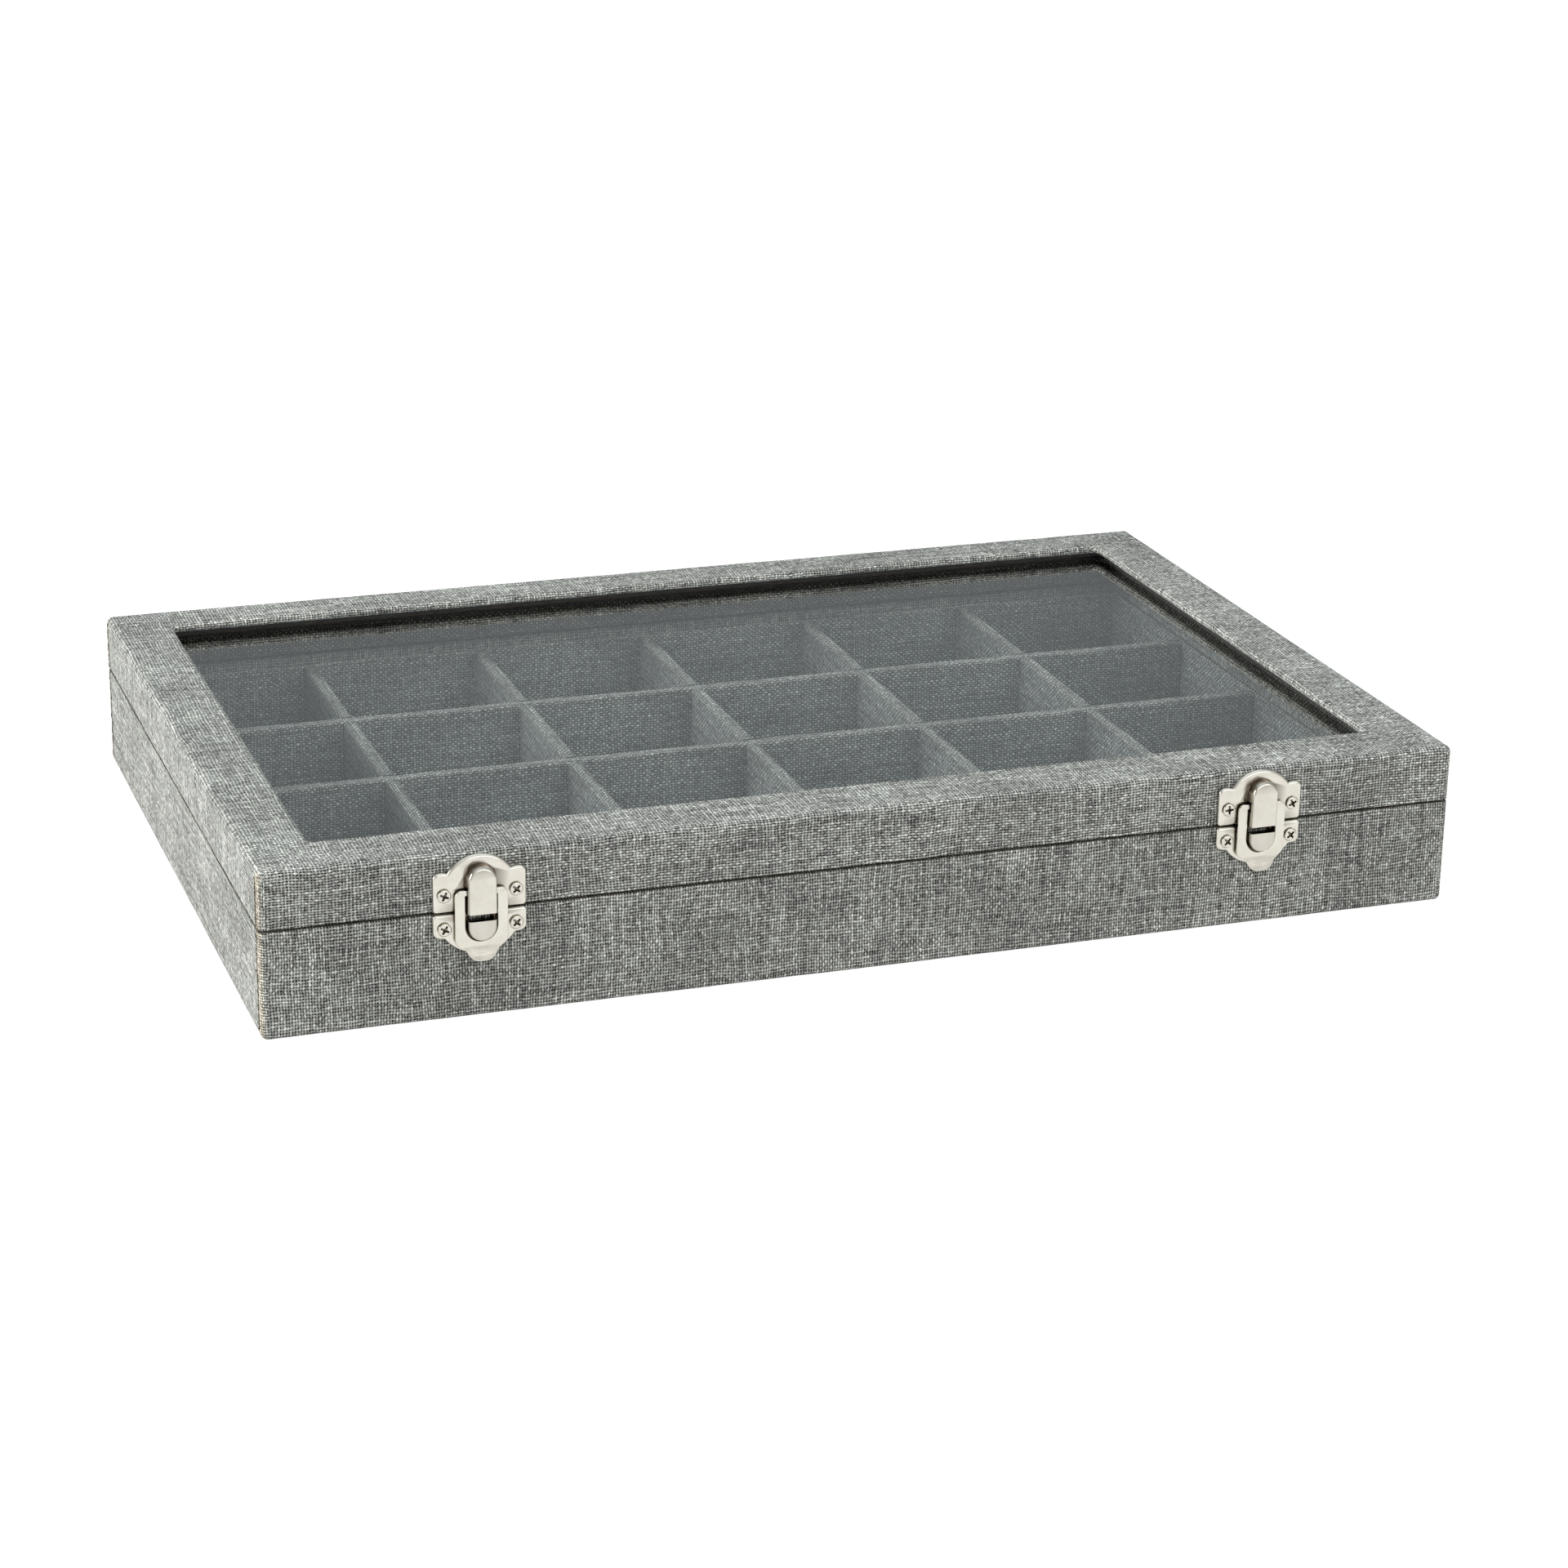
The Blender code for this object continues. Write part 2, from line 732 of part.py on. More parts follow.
def latch_plate():
    """The upper plate with its arched top and its hood, notched for the flap's crossbar."""
    start = atan2(ARCH_JOINT_HEIGHT - PLATE_SCREW_HEIGHT, ARCH_JOINT) * 180 / pi
    corners = [
        (-PLATE_HALF, PLATE_LOW, PLATE_CORNER),
        (PLATE_HALF, PLATE_LOW, PLATE_CORNER),
        (PLATE_HALF, PLATE_SHOULDER, SHOULDER_CORNER),
        (ARCH_JOINT + 0.5, PLATE_SHOULDER, 0),
    ]
    for point in arc((0, PLATE_SCREW_HEIGHT), ARCH_RADIUS, start, 180 - start, 12):
        corners.append((*point, 0))
    corners.append((-ARCH_JOINT - 0.5, PLATE_SHOULDER, 0))
    corners.append((-PLATE_HALF, PLATE_SHOULDER, SHOULDER_CORNER))
    outlines = [fillet(corners)] + screw_hole_outlines(PLATE_SCREW_HEIGHT)
    plate = prism(outlines, "Y", -PLATE_FRONT, -PLATE_BACK, PLATE_EDGE)
    notch = box(
        (-HOOD_HALF - 1, -NOTCH_OUT, NOTCH_LOW), (HOOD_HALF + 1, -PLATE_FRONT - 0.05, NOTCH_HIGH)
    )
    hood = hood_skin(0, PLATE_BACK + 0.2, HOOD_FACE, PLATE_LOW)
    hollow = hood_skin(SHEET, PLATE_BACK - 1, HOOD_FACE - SHEET, PLATE_LOW - 1)
    return combined(plate, ("UNION", hood), ("DIFFERENCE", hollow), ("DIFFERENCE", notch))


def catch_plate():
    """The lower plate, round at the bottom, with a raised D that is open at its flat top."""
    corners = [
        (CATCH_PLATE_HALF, CATCH_PLATE_TOP, CATCH_PLATE_CORNER),
        (-CATCH_PLATE_HALF, CATCH_PLATE_TOP, CATCH_PLATE_CORNER),
        (-CATCH_PLATE_HALF, CATCH_EAR_LOW, CATCH_EAR_CORNER),
    ]
    first, last = 270 - CATCH_ARC_SWEEP, 270 + CATCH_ARC_SWEEP
    for point in arc((0, CATCH_PLATE_TOP), CATCH_ARC_RADIUS, first, last, 12):
        corners.append((*point, 0))
    corners.append((CATCH_PLATE_HALF, CATCH_EAR_LOW, CATCH_EAR_CORNER))
    outlines = [fillet(corners)] + screw_hole_outlines(CATCH_SCREW_HEIGHT)
    plate = prism(outlines, "Y", -PLATE_FRONT, -PLATE_BACK, PLATE_EDGE)
    catch = catch_skin(0, PLATE_BACK + 0.2, CATCH_FACE, CATCH_FLAT)
    hollow = catch_skin(SHEET, PLATE_BACK - 1, CATCH_FACE - SHEET, CATCH_PLATE_TOP + 1)
    return combined(plate, ("UNION", catch), ("DIFFERENCE", hollow))


def latch_flap():
    """The hanging flap. Its window passes round the hood and the catch; its top edge is the hinge bar."""
    right = [(FLAP_HALF, FLAP_AXIS_HEIGHT + FLAP_OVER_AXIS, FLAP_TOP_CORNER), *FLAP_CORNERS]
    left = [(-x, z, radius) for x, z, radius in right]
    outer = fillet(left + right[::-1], 5)
    window_top = FLAP_AXIS_HEIGHT - FLAP_BAR_UNDER_AXIS
    hole = arc((0, FLAP_WINDOW_LOW + FLAP_WINDOW_HALF), FLAP_WINDOW_HALF, 180, 360, 10)
    hole += [Vector((FLAP_WINDOW_HALF, window_top)), Vector((-FLAP_WINDOW_HALF, window_top))]
    back = FLAP_AXIS_OUT - FLAP_THICKNESS / 2
    flat = prism([outer, hole], "Y", -back - FLAP_THICKNESS, -back, FLAP_EDGE)
    return bent_out(flat, FLAP_BEND_HEIGHT, FLAP_BEND_SLOPE)


def bent_out(mesh, bend_height, slope):
    """Leans what is below a height outwards, and moves the mesh to the flap's own axis."""
    shape = bmesh.new()
    shape.from_mesh(mesh)
    bmesh.ops.bisect_plane(
        shape,
        geom=shape.verts[:] + shape.edges[:] + shape.faces[:],
        plane_co=(0, 0, bend_height * MM),
        plane_no=(0, 0, 1),
    )
    for point in shape.verts:
        point.co.y -= slope * max(0.0, bend_height * MM - point.co.z)
    axis = Vector((0, -FLAP_AXIS_OUT, FLAP_AXIS_HEIGHT)) * MM
    bmesh.ops.translate(shape, vec=-axis, verts=shape.verts)
    bmesh.ops.triangulate(shape, faces=[face for face in shape.faces if len(face.verts) > 4])
    return mesh_of(shape)


def latch_spring():
    """A leaf spring inside the hood: it runs down in front of the flap's bar and hooks back at its top."""
    back = SPRING_FRONT - SPRING_SHEET
    under = SPRING_TOP - SPRING_SHEET
    hook = [
        (-SPRING_FRONT, SPRING_LOW),
        (-back, SPRING_LOW),
        (-back, under),
        (-SPRING_FOOT, under),
        (-SPRING_FOOT, SPRING_TOP),
        (-SPRING_FRONT, SPRING_TOP),
    ]
    return prism([hook], "X", -SPRING_HALF, SPRING_HALF)


# Stop hinges. Their meshes have their origin on the pin's axis.


def hinge_leaf(way, reach, knuckles):
    """One leaf with its knuckles. way is 1 for the lid's leaf, which goes up, and -1 for the base's."""
    outline = []
    shoulder = LEAF_START + 2 * TONGUE_STEP
    if len(knuckles) == 1:
        inner = KNUCKLE_HALF - TONGUE_STEP
        outline += [(-inner, 0, 0), (inner, 0, 0), (inner, LEAF_START, 0), (HINGE_HALF, shoulder, 0)]
        tail = [(-HINGE_HALF, shoulder, 0), (-inner, LEAF_START, 0)]
    else:
        inner = KNUCKLE_HALF + GAP + TONGUE_STEP
        outer = HINGE_HALF - TONGUE_STEP
        outline += [(-inner, 0, 0), (-inner, LEAF_START, 0), (inner, LEAF_START, 0), (inner, 0, 0)]
        outline += [(outer, 0, 0), (outer, shoulder, 0), (HINGE_HALF, shoulder + TONGUE_STEP, 0)]
        tail = [(-HINGE_HALF, shoulder + TONGUE_STEP, 0), (-outer, shoulder, 0), (-outer, 0, 0)]
    outline += [(HINGE_HALF, reach, LEAF_CORNER), (-HINGE_HALF, reach, LEAF_CORNER)] + tail
    outline = [(x, way * z, radius) for x, z, radius in outline]
    screws = [
        circle((side * LEAF_SCREW_ACROSS, way * LEAF_SCREW_OFFSET), HOLE_RADIUS, 12)
        for side in (-1, 1)
    ]
    near = -HINGE_AXIS_OUT + GAP
    leaf = prism([fillet(outline)] + screws, "Y", near, near + LEAF)
    steps = []
    for low, high in knuckles:
        steps.append(("UNION", rods([(low, 0, 0)], (1, 0, 0), high - low, KNUCKLE_RADIUS)))
    if len(knuckles) == 1:
        low, high = knuckles[0][0] + TONGUE_STEP, knuckles[0][1] - TONGUE_STEP
        stop = box((low, PIN_RADIUS + GAP, -LEAF / 2), (high, STOP_REACH, LEAF / 2))
        steps.append(("UNION", stop))
    bore = rods([(-HINGE_HALF - 1, 0, 0)], (1, 0, 0), 2 * HINGE_HALF + 2, BORE_RADIUS)
    steps.append(("DIFFERENCE", bore))
    return combined(leaf, *steps)


def base_leaf():
    inner = KNUCKLE_HALF + GAP
    knuckles = [(-HINGE_HALF, -inner), (inner, HINGE_HALF)]
    return hinge_leaf(-1, BASE_LEAF_REACH, knuckles)


def lid_leaf():
    return hinge_leaf(1, LID_LEAF_REACH, [(-KNUCKLE_HALF, KNUCKLE_HALF)])


def hinge_pin():
    return rods([(-HINGE_HALF, 0, 0)], (1, 0, 0), 2 * HINGE_HALF, PIN_RADIUS)


# The whole box


def build_base(base, looks):
    put("bottom_felt", plate_within(UNDER_TURN_IN + GAP, 0, FELT), looks["felt"], base)
    board = fillet([(*corner, BOARD_CORNER) for corner in rectangle(BOARD_OUT + GAP)])
    bottom = prism([board], "Z", BOTTOM_BOARD_LOW, BOTTOM_BOARD_LOW + BOTTOM_BOARD)
    put("bottom_board", bottom, looks["board"], base)
    top = BASE_TOP - BOARD_OUT
    front = long_board(-1, WALL_LOW, top, catch_screw_places(), 1)
    back = long_board(1, WALL_LOW, top, base_leaf_screw_places(), -1)
    put("base_front_board", front, looks["board"], base)
    put("base_back_board", back, looks["board"], base)
    put("base_left_board", end_board(-1, WALL_LOW, top), looks["board"], base)
    put("base_right_board", end_board(1, WALL_LOW, top), looks["board"], base)
    put("base_wrap", base_wrap(), looks["linen"], base)
    floor = plate_within(BOARD_IN + GAP, WALL_LOW, FLOOR)
    put("floor_lining", floor, looks["linen"], base)
    for name, side, along in (
        ("front_lining", -1, True),
        ("back_lining", 1, True),
        ("left_lining", -1, False),
        ("right_lining", 1, False),
    ):
        put(name, lining_wall(side, along), looks["linen"], base)


def rectangle(distance):
    low_x, high_x, low_y, high_y = inset(distance)
    return [(low_x, low_y), (high_x, low_y), (high_x, high_y), (low_x, high_y)]


def build_dividers(base, looks):
    inner_length, inner_depth = LENGTH / 2 - LINING_IN, DEPTH / 2 - LINING_IN
    columns = divider_places(COLUMNS, inner_length)
    rows = divider_places(ROWS, inner_depth)
    long_mesh = divider("X", inner_length - GAP, columns, slot_from_top=False)
    for number, place in enumerate(rows, 1):
        put(f"long_divider_{number}", long_mesh, looks["linen"], base, (0, place, 0))
    cross_mesh = divider("Y", inner_depth - GAP, rows, slot_from_top=True)
    for number, place in enumerate(columns, 1):
        put(f"cross_divider_{number}", cross_mesh, looks["linen"], base, (place, 0, 0))


def build_lid(lid, looks):
    low, top = LID_BOTTOM + BOARD_OUT, PANEL_LOW - GAP
    front = long_board(-1, low, top, plate_screw_places(), 1)
    back = long_board(1, low, top, lid_leaf_screw_places(), -1)
    put("lid_front_board", front, looks["board"], lid)
    put("lid_back_board", back, looks["board"], lid)
    put("lid_left_board", end_board(-1, low, top), looks["board"], lid)
    put("lid_right_board", end_board(1, low, top), looks["board"], lid)
    put("lid_top_panel", top_panel(), looks["board"], lid)
    put("lid_wrap", lid_wrap(), looks["linen"], lid)
    put("glass_spacer", glass_spacer(), looks["felt"], lid)
    put("glass_pane", plate_within(GLASS_INSET, GLASS_LOW, GLASS_TOP), looks["glass"], lid)
    put("glass_retainer", glass_retainer(), looks["linen"], lid)


def build_latches(base, lid, looks, screw_mesh):
    nickel = looks["nickel"]
    plate, catch, flap, spring = latch_plate(), catch_plate(), latch_flap(), latch_spring()
    face = -DEPTH / 2
    for side, middle in LATCH_PLACES.items():
        hung = pivot(f"{side}_flap_pivot", (middle, face - FLAP_AXIS_OUT, FLAP_AXIS_HEIGHT), lid)
        put(f"{side}_latch_plate", plate, nickel, lid, (middle, face, 0))
        put(f"{side}_latch_spring", spring, looks["steel"], lid, (middle, face, 0))
        put(f"{side}_latch_flap", flap, nickel, hung, hung["place"])
        put(f"{side}_catch_plate", catch, nickel, base, (middle, face, 0))
        seat = face - PLATE_FRONT - GAP / 3
        for number, across in enumerate((-SCREW_ACROSS, SCREW_ACROSS), 1):
            upper = (middle + across, seat, PLATE_SCREW_HEIGHT)
            lower = (middle + across, seat, CATCH_SCREW_HEIGHT)
            put(f"{side}_latch_plate_screw_{number}", screw_mesh, nickel, lid, upper)
            put(f"{side}_catch_plate_screw_{number}", screw_mesh, nickel, base, lower)


def build_hinges(base, lid, looks, screw_mesh):
    nickel = looks["nickel"]
    under, over, pin = base_leaf(), lid_leaf(), hinge_pin()
    turned = screw_mesh.copy()
    turned.transform(Matrix.Rotation(pi, 4, "Z"))
    for side, middle in HINGE_PLACES.items():
        axis = (middle, DEPTH / 2 + HINGE_AXIS_OUT, HINGE_AXIS_HEIGHT)
        put(f"{side}_hinge_base_leaf", under, nickel, base, axis)
        put(f"{side}_hinge_lid_leaf", over, nickel, lid, axis)
        put(f"{side}_hinge_pin", pin, looks["steel"], base, axis)
        seat = DEPTH / 2 + GAP + LEAF + GAP / 3
        for number, across in enumerate((-LEAF_SCREW_ACROSS, LEAF_SCREW_ACROSS), 1):
            low = (middle + across, seat, HINGE_AXIS_HEIGHT - LEAF_SCREW_OFFSET)
            high = (middle + across, seat, HINGE_AXIS_HEIGHT + LEAF_SCREW_OFFSET)
            put(f"{side}_base_leaf_screw_{number}", turned, nickel, base, low)
            put(f"{side}_lid_leaf_screw_{number}", turned, nickel, lid, high)


def build():
    looks = {
        "linen": material("linen", (0.36, 0.37, 0.36), 0.95),
        "board": material("board", (0.42, 0.37, 0.31), 0.9),
        "felt": material("felt", (0.05, 0.05, 0.055), 1.0),
        "glass": material("glass", (0.9, 0.95, 0.95), 0.05),
        "nickel": material("nickel", (0.78, 0.75, 0.70), 0.22, 1.0),
        "steel": material("steel", (0.60, 0.60, 0.60), 0.35, 1.0),
    }
    base = pivot("base", (0, 0, 0))
    lid = pivot("lid", (0, DEPTH / 2 + HINGE_AXIS_OUT, HINGE_AXIS_HEIGHT), base)
    screw_mesh = screw()
    build_base(base, looks)
    build_dividers(base, looks)
    build_lid(lid, looks)
    build_latches(base, lid, looks, screw_mesh)
    build_hinges(base, lid, looks, screw_mesh)


clear_scene()
PARTS = bpy.data.collections.new("sorting_box")
bpy.context.scene.collection.children.link(PARTS)
build()
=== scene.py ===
"""The looks of the linen-covered sorting box: woven linen, glass, nickel latches and hinges.

Everything is in metres in the CAD's own frame: X along the length, the latches face -Y, +Z is up.
Sizes that belong to the box are read from the CAD's nodes; the constants below are the looks' own.
"""

import json
from collections import namedtuple
from math import atan2, ceil, cos, degrees, hypot, pi, radians, sin, tan
from random import Random

import bmesh
import bpy
from mathutils import Matrix, Vector, noise

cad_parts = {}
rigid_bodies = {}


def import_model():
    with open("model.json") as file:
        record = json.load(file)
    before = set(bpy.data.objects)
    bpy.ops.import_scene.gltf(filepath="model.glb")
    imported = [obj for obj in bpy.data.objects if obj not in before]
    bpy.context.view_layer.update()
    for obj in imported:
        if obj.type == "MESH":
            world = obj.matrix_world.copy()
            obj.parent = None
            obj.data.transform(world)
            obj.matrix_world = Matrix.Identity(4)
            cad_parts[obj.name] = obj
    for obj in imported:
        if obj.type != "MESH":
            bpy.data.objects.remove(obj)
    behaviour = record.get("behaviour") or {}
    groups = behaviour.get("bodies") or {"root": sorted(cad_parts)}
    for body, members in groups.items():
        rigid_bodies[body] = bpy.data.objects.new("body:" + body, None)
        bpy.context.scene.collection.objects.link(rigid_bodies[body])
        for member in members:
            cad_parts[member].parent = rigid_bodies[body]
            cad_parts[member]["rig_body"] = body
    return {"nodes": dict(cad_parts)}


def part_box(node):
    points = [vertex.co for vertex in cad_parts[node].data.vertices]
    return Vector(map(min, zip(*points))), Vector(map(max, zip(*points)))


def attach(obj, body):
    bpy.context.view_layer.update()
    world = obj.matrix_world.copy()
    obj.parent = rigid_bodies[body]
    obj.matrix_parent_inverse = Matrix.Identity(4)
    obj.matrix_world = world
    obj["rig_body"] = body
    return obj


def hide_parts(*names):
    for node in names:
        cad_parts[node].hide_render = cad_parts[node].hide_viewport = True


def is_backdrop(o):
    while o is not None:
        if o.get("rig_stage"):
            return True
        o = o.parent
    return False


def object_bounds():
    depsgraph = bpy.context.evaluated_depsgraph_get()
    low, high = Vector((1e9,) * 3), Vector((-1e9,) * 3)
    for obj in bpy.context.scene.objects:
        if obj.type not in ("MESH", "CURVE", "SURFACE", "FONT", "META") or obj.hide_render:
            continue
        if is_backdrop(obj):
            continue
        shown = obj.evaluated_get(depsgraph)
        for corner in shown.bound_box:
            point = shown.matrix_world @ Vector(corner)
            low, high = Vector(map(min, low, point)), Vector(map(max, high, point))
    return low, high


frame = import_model()
CAD_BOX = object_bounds()
MM = 0.001


def centre_of(node):
    """The middle of a CAD node's box."""
    low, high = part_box(node)
    return (low + high) / 2


# The box, from the CAD's nodes
BASE_LOW, BASE_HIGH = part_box("base_wrap")
LID_LOW, LID_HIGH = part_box("lid_wrap")
HALF_LENGTH, HALF_DEPTH = LID_HIGH.x, LID_HIGH.y

# The window's rails and the frame under the glass, as in the CAD
RAILS = {"left": 18.0 * MM, "right": 18.0 * MM, "front": 20.0 * MM, "back": 16.0 * MM}
RAIL_THICKNESS = 2.6 * MM
NOSE = RAIL_THICKNESS / 2
WINDOW_CORNER = 2.0 * MM
WINDOW_TURN_IN = 8.0 * MM
RETAINER_WIDTH = 3.0 * MM

# The linen's thickness, its folds, and the distance between its threads both ways
LINEN = 0.5 * MM
UPRIGHT_EDGE = 2.0 * MM
TOP_EDGE = 2.0 * MM
BOTTOM_EDGE = 1.5 * MM
RIM_EDGE = 0.22 * MM
PARTING = 0.08 * MM
SEAM_ASIDE = 3.2 * MM
TURN_IN_FACE = 5.6 * MM
UNDER_TURN_IN = 12.0 * MM
THREAD_U = 0.94 * MM
THREAD_V = 0.78 * MM

# The cloth's painted shade value: 0 in the open, 1 painted dark where it is folded out of the light, and
# below 0 painted pale, a painted highlight on the lit tops of the strips. The retainer has one value for its
# lower half and one for its upper half, which is painted darker up under the rails.
PAINTED_TOP_LIGHT = -0.15
RETAINER_SHADE = (0.5, 0.74)

# Latch sizes: depths are measured outwards from the linen
SIDES = ("left", "right")
PLATE_BACK = 0.3 * MM
PLATE_FRONT = 1.4 * MM
PLATE_EDGE = 0.85 * MM
SCREW_ASIDE = 9.9 * MM
SCREW_RISE = 0.75 * MM
SEAT_RADIUS = 2.1 * MM
SEAT_DEPTH = 0.6 * MM
SHEET = 0.6 * MM

# The camera, with its angles in degrees
LENS = 88.0
CAMERA_PLACE = (-0.3533, -1.0394, 0.414)
CAMERA_YAW = 19.319
CAMERA_PITCH = 20.02
CAMERA_ROLL = 0.904


# Small helpers


def link(piece):
    bpy.context.scene.collection.objects.link(piece)
    return piece


def new_object(name, shape, look=None, smooth=None):
    """An object from a bmesh. smooth is the angle in degrees over which an edge stays sharp."""
    mesh = bpy.data.meshes.new(name)
    shape.to_mesh(mesh)
    shape.free()
    if look:
        mesh.materials.append(look)
    if smooth:
        soften(mesh, smooth)
    return link(bpy.data.objects.new(name, mesh))


def soften(mesh, sharp_over):
    """Smooth shading, but for the edges that fold by more than an angle in degrees."""
    mesh.shade_smooth()
    mesh.set_sharp_from_angle(angle=radians(sharp_over))


def reopen(piece):
    """A bmesh of an object's mesh."""
    shape = bmesh.new()
    shape.from_mesh(piece.data)
    return shape


def put_back(shape, piece):
    """Writes a bmesh into an object's mesh."""
    shape.to_mesh(piece.data)
    shape.free()


def made_mesh(piece):
    """The mesh that a curve or an object's modifiers make."""
    graph = bpy.context.evaluated_depsgraph_get()
    return bpy.data.meshes.new_from_object(piece.evaluated_get(graph))


def apply_modifiers(piece):
    mesh = made_mesh(piece)
    piece.modifiers.clear()
    piece.data = mesh
    return piece


def modify(piece, kind, **settings):
    """Adds a modifier with its settings, and applies it."""
    step = piece.modifiers.new(kind.lower(), kind)
    for name, value in settings.items():
        setattr(step, name, value)
    return apply_modifiers(piece)


def combine(piece, operation, helpers):
    """Cuts or joins other objects into a piece, and removes them."""
    for helper in helpers:
        step = piece.modifiers.new(operation, "BOOLEAN")
        step.operation = operation
        step.solver = "MANIFOLD"
        step.object = helper
    apply_modifiers(piece)
    for helper in helpers:
        bpy.data.objects.remove(helper, do_unlink=True)
    return piece


def bevel_edges(piece, width, segments):
    return modify(
        piece, "BEVEL", width=width, segments=segments, limit_method="ANGLE", angle_limit=radians(50)
    )


def block(low, high):
    """A cutter: the box between two corners."""
    shape = bmesh.new()
    bmesh.ops.create_cube(shape, size=1.0)
    low, high = Vector(low), Vector(high)
    bmesh.ops.scale(shape, vec=high - low, verts=shape.verts)
    bmesh.ops.translate(shape, vec=(high + low) / 2, verts=shape.verts)
    return new_object("block", shape)


def add_rod(shape, start, direction, length, radius, steps, end_radius=None):
    """Adds a round rod, or a tapered one, to a bmesh."""
    direction = Vector(direction)
    turn = Vector((0, 0, 1)).rotation_difference(direction).to_matrix().to_4x4()
    bmesh.ops.create_cone(
        shape,
        cap_ends=True,
        segments=steps,
        radius1=radius,
        radius2=radius if end_radius is None else end_radius,
        depth=length,
        matrix=Matrix.Translation(Vector(start) + direction * length / 2) @ turn,
    )


def rod(start, direction, length, radius, steps=40):
    shape = bmesh.new()
    add_rod(shape, start, direction, length, radius, steps)
    return new_object("rod", shape)


def arc(centre, radius, start, end, steps):
    """Points along an arc, whose angles are in degrees."""
    angles = [radians(start + (end - start) * step / steps) for step in range(steps + 1)]
    return [Vector(centre) + Vector((cos(angle), sin(angle))) * radius for angle in angles]


def fillet(corners, steps=6):
    """Points of an outline whose corners are given as (x, y, radius)."""
    points = []
    for index, (x, y, radius) in enumerate(corners):
        here = Vector((x, y))
        if not radius:
            points.append(here)
            continue
        back = (Vector(corners[index - 1][:2]) - here).normalized()
        onward = (Vector(corners[(index + 1) % len(corners)][:2]) - here).normalized()
        half = back.angle(onward) / 2
        centre = here + (back + onward).normalized() * radius / sin(half)
        start = here + back * radius / tan(half) - centre
        end = here + onward * radius / tan(half) - centre
        first = atan2(start.y, start.x)
        sweep = (atan2(end.y, end.x) - first + pi) % (2 * pi) - pi
        points += arc(centre, radius, degrees(first), degrees(first + sweep), steps)
    return points


def in_mm(*rows):
    """Rows of numbers in millimetres, as rows in metres."""
    return [tuple(number * MM for number in row) for row in rows]


def bridge(shape, rings, closed=True):
    """Faces between each ring of points and the next one. Closed rings run all the way round."""
    faces = []
    for near, far in zip(rings, rings[1:]):
        count = len(near)
        for index in range(count if closed else count - 1):
            after = (index + 1) % count
            faces.append(shape.faces.new((near[index], near[after], far[after], far[index])))
    return faces


def close_ends(shape, rings):
    """Closes the first and the last ring, and turns all faces outwards."""
    shape.faces.new(rings[0][::-1])
    shape.faces.new(rings[-1])
    bmesh.ops.recalc_face_normals(shape, faces=shape.faces)


def finish_piece(piece, body, slot, *nodes):
    """The piece moves with a body, and stands for CAD nodes. slot is not used."""
    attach(piece, body)
    if nodes:
        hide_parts(*nodes)
    return piece


# Shader helpers


class Nodes:
    """Adds nodes to a shader tree. A node is given numbers, colours or other nodes' outputs."""

    def __init__(self, tree):
        self.tree = tree

    def add(self, kind, **settings):
        node = self.tree.nodes.new(f"ShaderNode{kind}")
        for name, value in settings.items():
            setattr(node, name, value)
        return node

    def feed(self, socket, given):
        if isinstance(given, bpy.types.NodeSocket):
            self.tree.links.new(given, socket)
        elif socket.type == "RGBA":
            socket.default_value = (*given, 1.0)
        else:
            socket.default_value = given

    def fill(self, node, *given):
        """Gives values to a node's first inputs, and returns its first output."""
        for socket, value in zip(node.inputs, given):
            self.feed(socket, value)
        return node.outputs[0]

    def maths(self, operation, *given, clamp=False):
        return self.fill(self.add("Math", operation=operation, use_clamp=clamp), *given)

    def times(self, first, second):
        return self.maths("MULTIPLY", first, second)

    def plus(self, first, second):
        return self.maths("ADD", first, second)

    def vector(self, x, y, z=0.0):
        return self.fill(self.add("CombineXYZ"), x, y, z)

    def noise(self, place, scale, detail=1.0, roughness=0.5):
        node = self.add("TexNoise")
        node.inputs["Scale"].default_value = scale
        node.inputs["Detail"].default_value = detail
        node.inputs["Roughness"].default_value = roughness
        self.tree.links.new(place, node.inputs["Vector"])
        return node.outputs[0]

    def white_noise(self, place):
        node = self.add("TexWhiteNoise", noise_dimensions="2D")
        self.tree.links.new(place, node.inputs["Vector"])
        return node.outputs["Value"]

    def spread(self, value, low, high, from_low=0.0, from_high=1.0, smooth=False):
        """Maps a range of values onto another one."""
        node = self.add("MapRange", interpolation_type="SMOOTHSTEP" if smooth else "LINEAR")
        return self.fill(node, value, from_low, from_high, low, high)

    def mix(self, amount, first, second):
        """A mix of two colours."""
        node = self.add("Mix", data_type="RGBA")
        self.feed(node.inputs["Factor"], amount)
        self.feed(node.inputs[6], first)
        self.feed(node.inputs[7], second)
        return node.outputs[2]

    def scaled(self, colour, factor):
        """A colour times a brightness."""
        node = self.add("VectorMath", operation="SCALE")
        self.feed(node.inputs[0], colour)
        self.feed(node.inputs["Scale"], factor)
        return node.outputs[0]

    def tinted(self, colour, tint):
        """A colour times a colour."""
        return self.fill(self.add("VectorMath", operation="MULTIPLY"), colour, tint)

    def attribute(self, name):
        return self.add("Attribute", attribute_name=name).outputs["Fac"]

    def blend_shaders(self, output, amount, first, second):
        """Joins two shaders' outputs, and shows them on the tree's output."""
        mixed = self.fill(self.add("MixShader"), amount, first, second)
        self.tree.links.new(mixed, output.inputs["Surface"])


